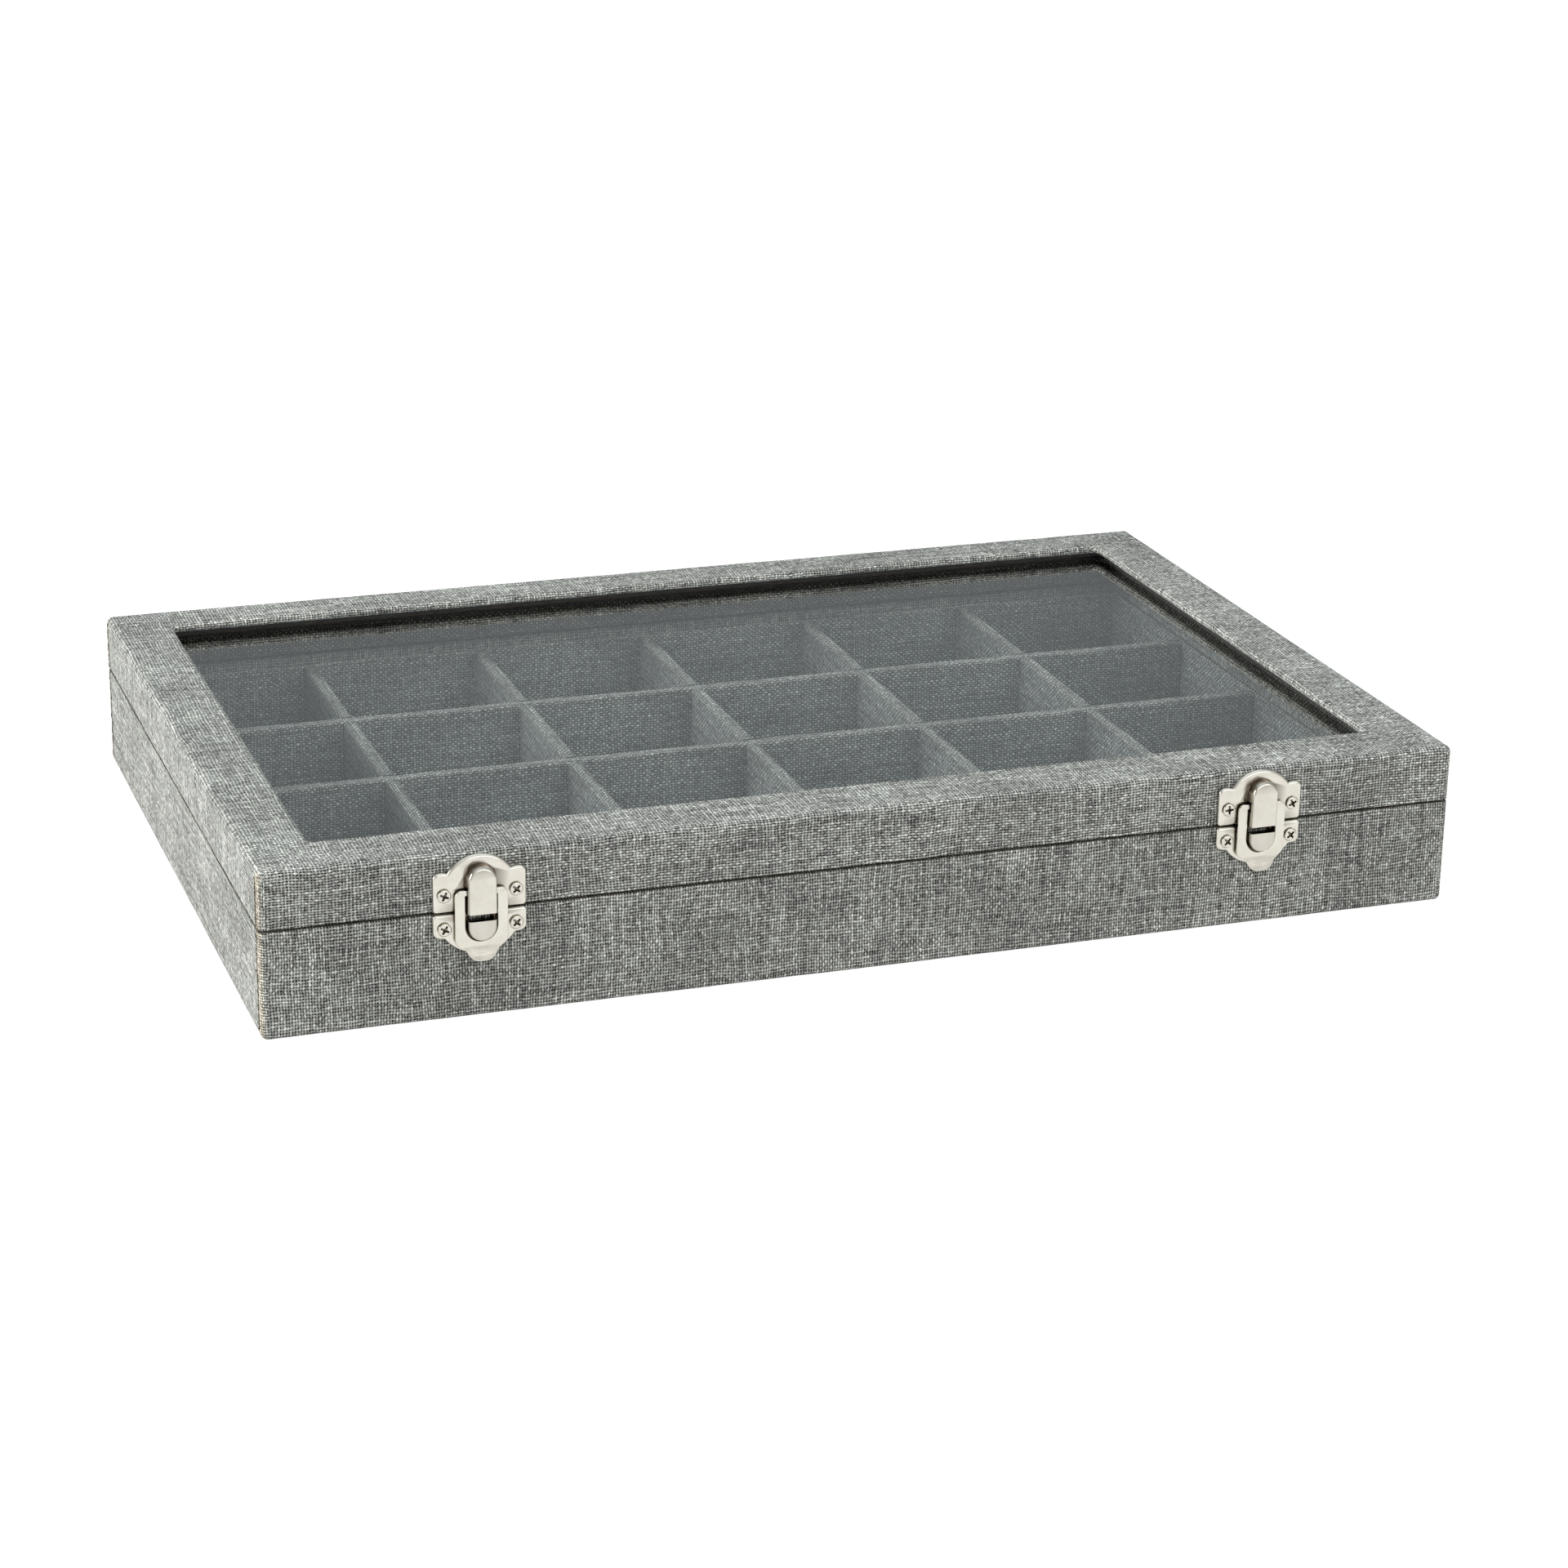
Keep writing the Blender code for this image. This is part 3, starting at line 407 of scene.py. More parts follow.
class Look(Nodes):
    """A material with a Principled shader. Settings name its sockets."""

    def __init__(self, name, **settings):
        self.material = bpy.data.materials.new(name)
        self.material.use_nodes = True
        super().__init__(self.material.node_tree)
        self.shader = self.tree.nodes["Principled BSDF"]
        for socket, given in settings.items():
            self.feed(self.shader.inputs[socket.replace("_", " ")], given)

    def place(self):
        """The place in the object, which moves with it."""
        return self.add("TexCoord").outputs["Object"]

    def show(self, socket, given):
        self.tree.links.new(given, self.shader.inputs[socket])

    def bump(self, height, distance, strength=1.0):
        node = self.add("Bump")
        node.inputs["Strength"].default_value = strength
        node.inputs["Distance"].default_value = distance
        self.tree.links.new(height, node.inputs["Height"])
        self.show("Normal", node.outputs[0])


# Linen


Threads = namedtuple("Threads", "number part rise light half")


def thread_height(look, thread, other, side, level, lift):
    """A thread's height across its width, raised where it passes over and lowered where it passes under."""
    off = look.maths("DIVIDE", look.maths("ABSOLUTE", look.maths("SUBTRACT", thread.part, 0.5)), thread.half)
    body = look.maths("MULTIPLY_ADD", look.times(off, off), -0.6, 0.6 + level)
    return look.maths("MULTIPLY_ADD", look.times(side, other.rise), lift, body)


def streaks(look, number, run, run_first, seed, pallor, slubs):
    """How light each thread is along its length, with long slubs, short flecks and a few pale threads."""

    def streak(across, length, offset):
        slow = look.times(run, length)
        shifted = look.maths("MULTIPLY_ADD", number, across, offset)
        return look.vector(slow, shifted) if run_first else look.vector(shifted, slow)

    # A slub is about 30 threads long and a fleck about 3. Uneven steps across keep neighbours unlike.
    slub = look.noise(streak(5.37, 0.035, seed), 1.0, 2)
    fleck = look.noise(streak(7.77, 0.4, seed + 9), 1.0, 2)
    long_part = look.spread(slub, 1 - 0.52 * slubs, 1 + 0.52 * slubs, 0.3, 0.7)
    short_part = look.spread(fleck, 1 - 0.42 * slubs, 1 + 0.42 * slubs, 0.3, 0.7)
    pale = look.spread(slub, 0.0, pallor, 0.64, 0.74, smooth=True)
    return look.maths("MINIMUM", look.maths("MULTIPLY_ADD", long_part, short_part, pale), 1.5), fleck


def thread_counts(look, place, turned):
    """Where a point lies in both directions, counted in threads.

    The threads drift by up to 1.2 of their spacing over some 20 mm, and by a quarter over some 2 mm.
    """
    split = look.add("SeparateXYZ")
    look.tree.links.new(place, split.inputs[0])
    along, across = (split.outputs[1], split.outputs[0]) if turned else split.outputs[:2]
    aside = look.vector(look.plus(across, 3.0), along)
    counts = []
    for run, spacing, where in ((along, THREAD_U, place), (across, THREAD_V, aside)):
        drift = look.spread(look.noise(where, 55, 2), -1.2, 1.2)
        jitter = look.spread(look.noise(where, 560, 2), -0.27, 0.27)
        counts.append(look.maths("MULTIPLY_ADD", run, 1 / spacing, look.plus(drift, jitter)))
    return counts


def thread_sets(look, u, v, slubs):
    """The warp, which is numbered along u, and the weft, which is numbered along v."""
    sets = []
    choices = ((u, v, False, 0.3, 0.4, (0.22, 0.38)), (v, u, True, 40.7, 0.2, (0.30, 0.46)))
    for count, run, run_first, seed, pallor, halves in choices:
        number, part = look.maths("FLOOR", count), look.maths("FRACT", count)
        rise = look.maths("SINE", look.times(part, pi))
        light, fleck = streaks(look, number, run, run_first, seed, pallor * slubs, slubs)
        sets.append(Threads(number, part, rise, light, look.spread(fleck, *halves, 0.3, 0.7)))
    return sets


def cloth_light(look, place, crossing, height, slubs):
    """How bright the cloth is: its fibres, large clouds and single crossings, and painted light: painted
    shade in its folds, a painted highlight on lit tops, and threads painted lighter on their crowns than down
    their sides.
    """
    fibre = look.spread(look.noise(place, 5200, 2, 0.6), 0.8, 1.2, 0.3, 0.7)
    cloud = look.spread(look.noise(place, 32, 3), 0.84, 1.16, 0.3, 0.7)
    bit = look.spread(look.white_noise(crossing), 1 - 0.16 * slubs, 1 + 0.16 * slubs)
    light = look.times(look.times(fibre, cloud), bit)
    # Painted shade from the cloth's painted shade value, stronger down in the gaps; below 0 it paints a
    # highlight.
    ragged = look.times(look.attribute("Tuck"), look.spread(height, 1.25, 0.85, 0.2, 1.0))
    light = look.times(light, look.maths("MAXIMUM", look.maths("SUBTRACT", 1.0, ragged), 0.0))
    # Painted highlight and shade: each thread is painted lighter on its crown and darker down its sides.
    return look.times(light, look.spread(height, 0.34, 1.42, 0.12, 0.92))


def cloth_tint(look, place):
    """A warmer tint at cut edges (Fray), and warm tints for the painted shade in folds and for the painted
    highlight on lit tops.
    """
    tuck = look.attribute("Tuck")
    stain = look.spread(look.noise(place, 1300, 2), 0.0, 1.0, 0.47, 0.6, smooth=True)
    edge = look.mix(stain, (1.42, 1.36, 1.25), (1.08, 0.86, 0.66))
    tint = look.mix(look.attribute("Fray"), (1.0, 1.0, 1.0), edge)
    tint = look.mix(look.maths("MULTIPLY", tuck, -3.3, clamp=True), tint, (1.06, 1.0, 0.93))
    return look.mix(tuck, tint, (1.0, 0.9, 0.74))


def linen_material(
    name,
    turned=False,
    weft=(0.445, 0.45, 0.419),
    warp=(0.425, 0.43, 0.40),
    lift=0.3,
    slubs=1.0,
    pit=0.004,
):
    """Plain-woven heather linen. Its UV map runs in metres; turned swaps the two threads' directions.

    lift is how far each thread rises over the ones that it crosses, slubs is how much the threads
    differ in brightness, and pit is how light the gaps between them are: near black, partly their own dark
    and partly painted shade.
    """
    look = Look(name, Roughness=0.92, Sheen_Weight=0.02, Sheen_Roughness=0.5, Specular_IOR_Level=0.1)
    place = look.add("UVMap", uv_map="Weave").outputs[0]
    u, v = thread_counts(look, place, turned)
    warps, wefts = thread_sets(look, u, v, slubs)
    parity = look.maths("FLOORED_MODULO", look.plus(warps.number, wefts.number), 2.0)
    side = look.maths("MULTIPLY_ADD", parity, 2.0, -1.0)
    warp_height = thread_height(look, warps, wefts, side, 0.0, lift)
    weft_height = thread_height(look, wefts, warps, look.times(side, -1.0), 0.1, lift)
    height = look.maths("MAXIMUM", warp_height, weft_height)
    weft_shows = look.maths("GREATER_THAN", weft_height, warp_height)
    thread = look.mix(weft_shows, look.scaled(warp, warps.light), look.scaled(weft, wefts.light))
    crossing = look.vector(warps.number, wefts.number)
    lit = look.scaled(thread, cloth_light(look, place, crossing, height, slubs))
    gap = look.vector(*(look.maths("FLOOR", look.plus(count, 0.5)) for count in (u, v)))
    raised = look.maths("MULTIPLY_ADD", look.white_noise(gap), 0.5, -0.34)
    filled = look.spread(look.plus(height, raised), 0.0, 1.0, -0.12, 0.32, smooth=True)
    # The gaps between the threads are painted near black: partly their own dark, partly painted shade.
    dark = (pit, pit * 1.01, pit * 0.96)
    look.show("Base Color", look.mix(filled, dark, look.tinted(lit, cloth_tint(look, place))))
    look.bump(look.maths("MAXIMUM", height, -0.5), 0.36 * MM)
    return look.material


# Other materials


def nickel_material():
    """Softly clouded nickel, painted dark brown where the painted shade value is high: painted shade in the
    screws' cross recesses and at the feet of the pressed cups.
    """
    look = Look("nickel", Base_Color=(0.72, 0.70, 0.64), Metallic=1.0, Roughness=0.2)
    place = look.place()
    cloud = look.noise(place, 260, 3)
    look.show("Roughness", look.spread(cloud, 0.13, 0.27, 0.3, 0.7))
    tint = look.mix(look.spread(cloud, 0.0, 1.0, 0.3, 0.7), (0.71, 0.68, 0.61), (0.65, 0.62, 0.545))
    look.show("Base Color", look.mix(look.attribute("Tuck"), tint, (0.07, 0.042, 0.025)))
    look.bump(look.noise(place, 900, 2), 0.006 * MM, 0.5)
    return look.material


def steel_material():
    look = Look("steel", Base_Color=(0.55, 0.54, 0.52), Metallic=1.0, Roughness=0.35)
    look.show("Roughness", look.spread(look.noise(look.place(), 500, 3), 0.28, 0.5))
    return look.material


def grained_material(name, scale, detail, colours, depth, strength, **settings):
    """Board or felt: a fine grain between two colours, and its bump."""
    look = Look(name, **settings)
    grain = look.noise(look.place(), scale, detail, 0.7)
    look.show("Base Color", look.mix(grain, *colours))
    look.bump(grain, depth, strength)
    return look.material


def board_material():
    colours = ((0.30, 0.24, 0.17), (0.46, 0.38, 0.28))
    return grained_material("board", 900, 4, colours, 0.05 * MM, 0.6, Roughness=0.9)


def felt_material():
    colours = ((0.018, 0.018, 0.020), (0.060, 0.060, 0.064))
    sheen = {"Sheen_Weight": 0.5, "Sheen_Roughness": 0.6}
    return grained_material("felt", 1400, 5, colours, 0.25 * MM, 0.8, Roughness=1.0, **sheen)


def thread_material(name, colours):
    """Bare thread ends, whose colour wanders between two."""
    look = Look(name, Roughness=0.95)
    amount = look.spread(look.noise(look.place(), 900, 2), 0.0, 1.0, 0.35, 0.65)
    look.show("Base Color", look.mix(amount, *colours))
    return look.material


def glass_material():
    """Thin window glass: it mirrors by angle and lets the rest straight through."""
    material = bpy.data.materials.new("glass")
    material.use_nodes = True
    look = Nodes(material.node_tree)
    look.tree.nodes.clear()
    clear, mirror, fresnel = look.add("BsdfTransparent"), look.add("BsdfGlossy"), look.add("Fresnel")
    look.feed(clear.inputs["Color"], (0.92, 0.937, 0.937))
    look.feed(mirror.inputs["Color"], (1.0, 1.0, 1.0))
    mirror.inputs["Roughness"].default_value = 0.02
    fresnel.inputs["IOR"].default_value = 1.52
    outside = look.maths("SUBTRACT", 1.0, look.add("NewGeometry").outputs["Backfacing"])
    both_faces = look.maths("MULTIPLY", fresnel.outputs[0], 1.7, clamp=True)
    amount = look.times(both_faces, outside)
    look.blend_shaders(look.add("OutputMaterial"), amount, clear.outputs[0], mirror.outputs[0])
    return material


def floor_material():
    """A white studio floor, which lights the box less than it shows."""
    look = Look("studio_floor", Base_Color=(0.2, 0.2, 0.2), Roughness=0.9, Specular_IOR_Level=0.0)
    look.feed(look.shader.inputs["Emission Color"], (1.0, 1.0, 1.0))
    rays = look.add("LightPath").outputs
    seen = look.maths("MAXIMUM", rays["Is Camera Ray"], rays["Is Glossy Ray"])
    look.show("Emission Strength", look.spread(seen, 0.28, 0.95))
    return look.material


# Linen-covered rings: the lid's and the base's covers, and the frame that holds the glass


def ring_points(bounds, corner, spacing=4 * MM, corner_steps=6):
    """A rounded rectangle as (x, y, side, how far round a corner), anticlockwise from the right.

    Sides are right, back, left and front. Corners belong to the left and right sides, which have
    two more points near each corner, at the seam.
    """
    low_x, high_x, low_y, high_y = bounds
    columns = ceil(2 * HALF_LENGTH / spacing)
    rows = ceil(2 * HALF_DEPTH / spacing)
    seam = SEAM_ASIDE - UPRIGHT_EDGE
    points = []

    def straight(start, end, steps, side):
        start, end = Vector(start), Vector(end)
        length = (end - start).length
        extra = [seam / length, (seam + 0.4 * MM) / length] if side in ("left", "right") else []
        middles = [step / steps for step in range(1, steps)]
        for share in [0.0] + extra + middles + [1 - share for share in extra[::-1]]:
            place = start.lerp(end, share)
            points.append((place.x, place.y, side, 0.0))

    def turn(x, y, first, side, leaving):
        for step in range(corner_steps):
            angle = radians(first + 90 * step / corner_steps)
            far = step / corner_steps if leaving else 1 - step / corner_steps
            points.append((x + corner * cos(angle), y + corner * sin(angle), side, far))

    straight((high_x, low_y + corner), (high_x, high_y - corner), rows, "right")
    turn(high_x - corner, high_y - corner, 0, "right", True)
    straight((high_x - corner, high_y), (low_x + corner, high_y), columns, "back")
    turn(low_x + corner, high_y - corner, 90, "left", False)
    straight((low_x, high_y - corner), (low_x, low_y + corner), rows, "left")
    turn(low_x + corner, low_y + corner, 180, "left", True)
    straight((low_x + corner, low_y), (high_x - corner, low_y), columns, "front")
    turn(high_x - corner, low_y + corner, 270, "right", False)
    return points


Ring = namedtuple("Ring", "bounds corner height lay wall tuck strays")


class Profile:
    """The rings of a cover, from one edge of the cloth to the other.

    Each ring has a function, lay, that says where its points lie in the flat cloth. wall is 1 where
    the ring is on an upright face and 0 where it is on a level one, tuck is how much darker the
    cloth is where it is folded away from the light, and strays says whether its height wanders.
    """

    def __init__(self):
        self.rings = []

    def add(self, outline, height, unrolled, wall=0.0, tuck=0.0, lay=None, strays=False):
        bounds, corner = outline
        lay = lay or wrapped(unrolled, wall, corner)
        self.rings.append(Ring(bounds, corner, height, lay, wall, tuck, strays))

    def add_arc(
        self, shape, height, radius, start, end, steps, unrolled,
        wall, tuck=(0.0, 0.0), lay=None, strays=False,
    ):
        """Rings along a fold, from one angle in degrees to another. shape makes an outline of a distance."""
        for step in range(steps + 1):
            share = step / steps
            angle = radians(start + (end - start) * share)
            length = unrolled + radius * radians(abs(end - start)) * share
            self.add(
                shape(radius * cos(angle)),
                height + radius * sin(angle),
                length,
                wall[0] + (wall[1] - wall[0]) * share,
                tuck[0] + (tuck[1] - tuck[0]) * share,
                lay and lay(length),
                strays,
            )


def outer_shape(outwards):
    """The box's outline and its corner radius, a distance outside (+) or inside (-) its faces."""
    half_x, half_y = HALF_LENGTH + outwards, HALF_DEPTH + outwards
    return (-half_x, half_x, -half_y, half_y), max(UPRIGHT_EDGE + outwards, 0.6 * MM)


def shifted(shape, distance):
    """The outlines of another shape, from a distance further out."""
    return lambda outwards: shape(outwards + distance)


def window_shape(outwards):
    """The window's outline, widened into the rails."""
    bounds = (
        -HALF_LENGTH + RAILS["left"] - outwards,
        HALF_LENGTH - RAILS["right"] + outwards,
        -HALF_DEPTH + RAILS["front"] - outwards,
        HALF_DEPTH - RAILS["back"] + outwards,
    )
    return bounds, WINDOW_CORNER + outwards


def wrapped(unrolled, wall, corner):
    """Cloth wrapped round the box: where a point lies in it, in metres."""

    def lay(x, y, side, far):
        onward = y + far * wall * corner * pi / 2 * (1 if y > 0 else -1)
        return {
            "front": (x, -HALF_DEPTH + unrolled),
            "back": (x, HALF_DEPTH - unrolled),
            "left": (-HALF_LENGTH + unrolled, onward),
            "right": (HALF_LENGTH - unrolled, onward),
        }[side]

    return lay


def level(x, y, side, far):
    """Cloth that lies flat on the rails."""
    return x, y


def rolled_in(rolled):
    """Cloth rolled over the window's rounded edge, which starts at a different place on each rail."""
    return lambda x, y, side, far: wrapped(RAILS[side] - NOSE + rolled, 0.0, 0.0)(x, y, side, far)


def lengthwise(rolled):
    """Cloth wrapped round a thin frame."""
    return lambda x, y, side, far: (x if side in ("front", "back") else y, rolled)


def uneven(place, size, amount):
    """A smooth, repeatable unevenness of hand-glued cloth."""
    return noise.noise(Vector(place) / size) * amount


def rim_stray(x, y):
    """How far a folded rim strays from its height."""
    return uneven((x, y, 0.3), 22 * MM, 0.16 * MM) + uneven((x, y, 0.7), 3.5 * MM, 0.08 * MM)


def seam_band(x, y):
    """1 where the long side's cloth is folded round an upright corner, up to its cut edge."""
    round_corner = abs(y) > HALF_DEPTH - SEAM_ASIDE - 0.05 * MM and abs(x) > HALF_LENGTH - 1.0 * MM
    return 1.0 if round_corner else 0.0


def cloth_ring(name, profile, look, thickness=LINEN):
    """A cover made of rings, with a Weave map that follows the cloth.

    A cover without a thickness is a tube: its last ring lies on its first one, and is merged with it.
    """
    shape = bmesh.new()
    weave = shape.loops.layers.uv.new("Weave")
    tuck = shape.verts.layers.float.new("Tuck")
    fray = shape.verts.layers.float.new("Fray")
    rings = []
    for ring in profile.rings:
        points = []
        for x, y, side, far in ring_points(ring.bounds, ring.corner):
            stray = rim_stray(x, y) if ring.strays else 0.0
            point = shape.verts.new((x, y, ring.height + stray))
            point[tuck] = ring.tuck
            point[fray] = seam_band(x, y) * ring.wall
            points.append((point, x, y, side, far, ring.lay))
        rings.append(points)
    for near, beyond in zip(rings, rings[1:]):
        for index in range(len(near)):
            after = (index + 1) % len(near)
            corners = (near[index], near[after], beyond[after], beyond[index])
            side = near[index][3]
            face = shape.faces.new([corner[0] for corner in corners])
            for loop, (_, x, y, own_side, far, lay) in zip(face.loops, corners):
                loop[weave].uv = lay(x, y, side, far if own_side == side else 1.0)
    if not thickness:
        bmesh.ops.remove_doubles(shape, verts=shape.verts, dist=0.001 * MM)
        bmesh.ops.recalc_face_normals(shape, faces=shape.faces)
        return new_object(name, shape, look, smooth=50)
    piece = new_object(name, shape, look, smooth=50)
    return modify(piece, "SOLIDIFY", thickness=thickness, offset=-1.0, use_even_offset=True)


def roughen(piece, size, amount):
    """Lets a surface wander by a small amount, as glued cloth over board does."""
    for point in piece.data.vertices:
        for axis in range(3):
            shift = Vector(point.co) / size + Vector((7.1 * axis, 3.3 * axis, 1.7 * axis))
            point.co[axis] += noise.noise(shift) * amount
    return piece


def lid_cover(look):
    """From the turn-in inside the rim, round the rim, up the sides, over the rails and into the window."""
    rim = LID_LOW.z + RIM_EDGE + PARTING
    top = LID_HIGH.z
    side_length = top - TOP_EDGE - rim
    under = -side_length - TOP_EDGE * pi / 2 + TOP_EDGE
    inside = under - 6.5 * MM
    profile = Profile()
    for up in (5.8 * MM, 2.9 * MM, 0.3 * MM):
        # Painted shade: a little on the turn-in, and most on the rim's fold next to the parting line.
        profile.add(outer_shape(-TURN_IN_FACE), rim + up, inside - up, 1.0, 0.1)
    within = shifted(outer_shape, RIM_EDGE - TURN_IN_FACE)
    profile.add_arc(within, rim, RIM_EDGE, 180, 270, 4, inside, (1, 0), (0.1, 0.3), strays=True)
    at_rim = shifted(outer_shape, -RIM_EDGE)
    outside = under - RIM_EDGE * pi / 2
    profile.add_arc(at_rim, rim, RIM_EDGE, -90, 0, 6, outside, (0, 1), (0.6, 0.0), strays=True)
    for share in (0.03, 0.2, 0.4, 0.6, 0.8, 0.97):
        profile.add(outer_shape(0), rim + side_length * share, under + side_length * share, 1.0)
    over = shifted(outer_shape, -TOP_EDGE)
    profile.add_arc(over, top - TOP_EDGE, TOP_EDGE, 0, 90, 8, under + side_length, (1, 0))
    for inwards in (TOP_EDGE + 0.4 * MM, 5 * MM, 9 * MM):
        profile.add((outer_shape(-inwards)[0], 0.8 * MM), top, inwards)
    for outwards in (NOSE + 3 * MM, NOSE + 0.4 * MM):
        profile.add(window_shape(outwards), top, None, lay=level)
    add_window_edge(profile, top)
    return cloth_ring("lid_linen", profile, look)


def add_window_edge(profile, top):
    """The rails' rounded edge, painted in shade from where it turns out of sight, and the cloth under it,
    painted in full shade.
    """

    def widened(out):
        return window_shape(NOSE - out)

    in_sight = -68
    for first, last, steps, dark in ((90, in_sight, 12, (0.0, 0.05)), (in_sight - 4, -90, 2, (0.5, 1.0))):
        rolled = NOSE * radians(90 - first)
        profile.add_arc(widened, top - NOSE, NOSE, first, last, steps, rolled, (0, 0), dark, lay=rolled_in)
    rolled = pi * NOSE + WINDOW_TURN_IN - NOSE
    profile.add(window_shape(WINDOW_TURN_IN), top - RAIL_THICKNESS, rolled, 0.0, 1.0, lay=rolled_in(rolled))


def base_cover(look):
    """From the turn-in under the box, up the sides, and over the rim."""
    rim = BASE_HIGH.z - RIM_EDGE - PARTING
    low = BASE_LOW.z
    side_length = rim - low - BOTTOM_EDGE
    fold = BOTTOM_EDGE * pi / 2
    profile = Profile()
    for inwards in (UNDER_TURN_IN, 7 * MM, BOTTOM_EDGE + 0.4 * MM):
        profile.add(outer_shape(-inwards), low, -fold - inwards + BOTTOM_EDGE)
    below = shifted(outer_shape, -BOTTOM_EDGE)
    profile.add_arc(below, low + BOTTOM_EDGE, BOTTOM_EDGE, -90, 0, 7, -fold, (0, 1))
    for share in (0.02, 0.15, 0.3, 0.45, 0.6, 0.75, 0.9, 0.98):
        up = side_length * share
        profile.add(outer_shape(0), low + BOTTOM_EDGE + up, up, 1.0)
    at_rim = shifted(outer_shape, -RIM_EDGE)
    # Painted shade on the rim's fold, darkest next to the parting line.
    profile.add_arc(at_rim, rim, RIM_EDGE, 0, 90, 6, side_length, (1, 0), (0.0, 0.6), strays=True)
    over = side_length + TURN_IN_FACE
    within = shifted(outer_shape, RIM_EDGE - TURN_IN_FACE)
    profile.add_arc(within, rim, RIM_EDGE, 90, 180, 5, over, (0, 1), strays=True)
    for down in (0.3 * MM, 3 * MM, 6 * MM):
        profile.add(outer_shape(-TURN_IN_FACE), rim - down, over + 1.3 * MM + down, 1.0)
    return cloth_ring("base_linen", profile, look)


def retainer_cover(look):
    """The linen-covered frame under the glass, with softened edges.

    Its rings close on themselves. The cloth is bunched underneath, where its edges meet.
    """
    low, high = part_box("glass_retainer")
    inset = HALF_LENGTH - high.x
    edge = 0.5 * MM
    outer, inner = -inset - edge, -inset - RETAINER_WIDTH + edge
    bottom, top = low.z + edge, high.z - edge
    path = []
    corners = ((outer, bottom), (outer, top), (inner, top), (inner, bottom))
    for quarter, middle in enumerate(corners, 3):
        path += arc(middle, edge, quarter * 90, quarter * 90 + 90, 3)
    lap = hypot(RETAINER_WIDTH - 2 * edge, 4 * MM)
    profile = Profile()
    length = 0.0
    for last, place in zip([path[0]] + path, path + [path[0]]):
        length += (place - last).length if len(profile.rings) < len(path) else lap
        # Painted shade: the retainer's upper half, up under the rails, is painted darker than its lower half.
        tuck = RETAINER_SHADE[place.y > (low.z + high.z) / 2]
        profile.add(outer_shape(place.x), place.y, None, 0.0, tuck, lay=lengthwise(length))
    return cloth_ring("retainer_linen", profile, look, thickness=0)


# The cut edges of the cloth at the upright corners


UPRIGHT_CORNERS = [(way_x, way_y) for way_x in (-1, 1) for way_y in (-1, 1)]


def seam_path(way_x, way_y, low, high, steps, proud=0.0):
    """Points up an upright corner's end face, where the long side's cloth was folded round and cut."""
    x = way_x * (HALF_LENGTH + proud)
    for step in range(steps + 1):
        height = low + (high - low) * step / steps
        aside = SEAM_ASIDE + uneven((x, way_y, height), 5 * MM, 0.5 * MM)
        aside += uneven((x, height, way_y), 0.9 * MM, 0.35 * MM)
        yield x, way_y * (HALF_DEPTH - aside), height


def seam_strips(name, low, high, look):
    """Ragged cut edges, one at each upright corner, that stand a little proud and face the corner."""
    shape = bmesh.new()
    sunk = -0.2 * MM
    for way_x, way_y in UPRIGHT_CORNERS:
        rings = []
        for x, y, height in seam_path(way_x, way_y, low, high, 90):
            proud = 0.22 * MM + uneven((x, y, height), 1.1 * MM, 0.24 * MM)
            ring = []
            for out, aside in ((sunk, 0.0), (proud, 0.06 * MM), (proud, 0.2 * MM), (sunk, 0.5 * MM)):
                ring.append(shape.verts.new((x + way_x * out, y - way_y * aside, height)))
            rings.append(ring)
        bridge(shape, rings)
        close_ends(shape, rings)
    return new_object(name, shape, look, smooth=50)


def frayed_threads(name, low, high, look, count=46):
    """Short pale thread ends that stick out over each cut edge."""
    shape = bmesh.new()
    chance = Random(name)
    for way_x, way_y in UPRIGHT_CORNERS:
        for x, y, height in list(seam_path(way_x, way_y, low, high, count, proud=0.2 * MM))[1:-1]:
            if chance.random() < 0.3:
                continue
            length = chance.uniform(0.5, 1.3) * MM
            tilt = chance.uniform(-0.45, 0.45)
            lean = chance.uniform(0.0, 0.35)
            along = Vector((way_x * lean, way_y * cos(tilt), sin(tilt))).normalized()
            start = (x, y - way_y * 0.15 * MM, height + chance.uniform(-0.2, 0.2) * MM)
            add_rod(shape, start, along, length, 0.13 * MM, 5, 0.07 * MM)
    return new_object(name, shape, look, smooth=60)


def build_seams():
    # The cut edges are coloured near-black brown: partly the cut cloth's own brown, partly painted shade.
    shadow = thread_material("shaded_cut_edge", ((0.022, 0.017, 0.012), (0.13, 0.10, 0.075)))
    ends = thread_material("thread_ends", ((0.26, 0.23, 0.185), (0.60, 0.57, 0.51)))
    spans = (
        ("base", BASE_LOW.z + BOTTOM_EDGE + 0.8 * MM, BASE_HIGH.z - RIM_EDGE - PARTING),
        ("lid", LID_LOW.z + RIM_EDGE + PARTING, LID_HIGH.z - TOP_EDGE * 0.9),
    )
    for body, low, high in spans:
        finish_piece(seam_strips(f"{body}_seams", low, high, shadow), body, "linen")
        finish_piece(frayed_threads(f"{body}_threads", low, high, ends), body, "linen")


# Linen-covered strips: dividers and the lining walls


def strip_profile(low, high, half):
    """A strip's section as (sideways, height), up one face, over the folded top and down the other."""
    fold = min(0.75 * MM, half * 0.9)
    top = high - fold
    sides = (low, low + 6 * MM, high - 6 * MM, top - 0.3 * MM)
    folded = arc((fold - half, top), fold, 180, 90, 5) + arc((half - fold, top), fold, 90, 0, 5)
    up = [(-half, height) for height in sides]
    down = [(half, height) for height in sides[::-1]]
    return up + [tuple(point) for point in folded] + down, top


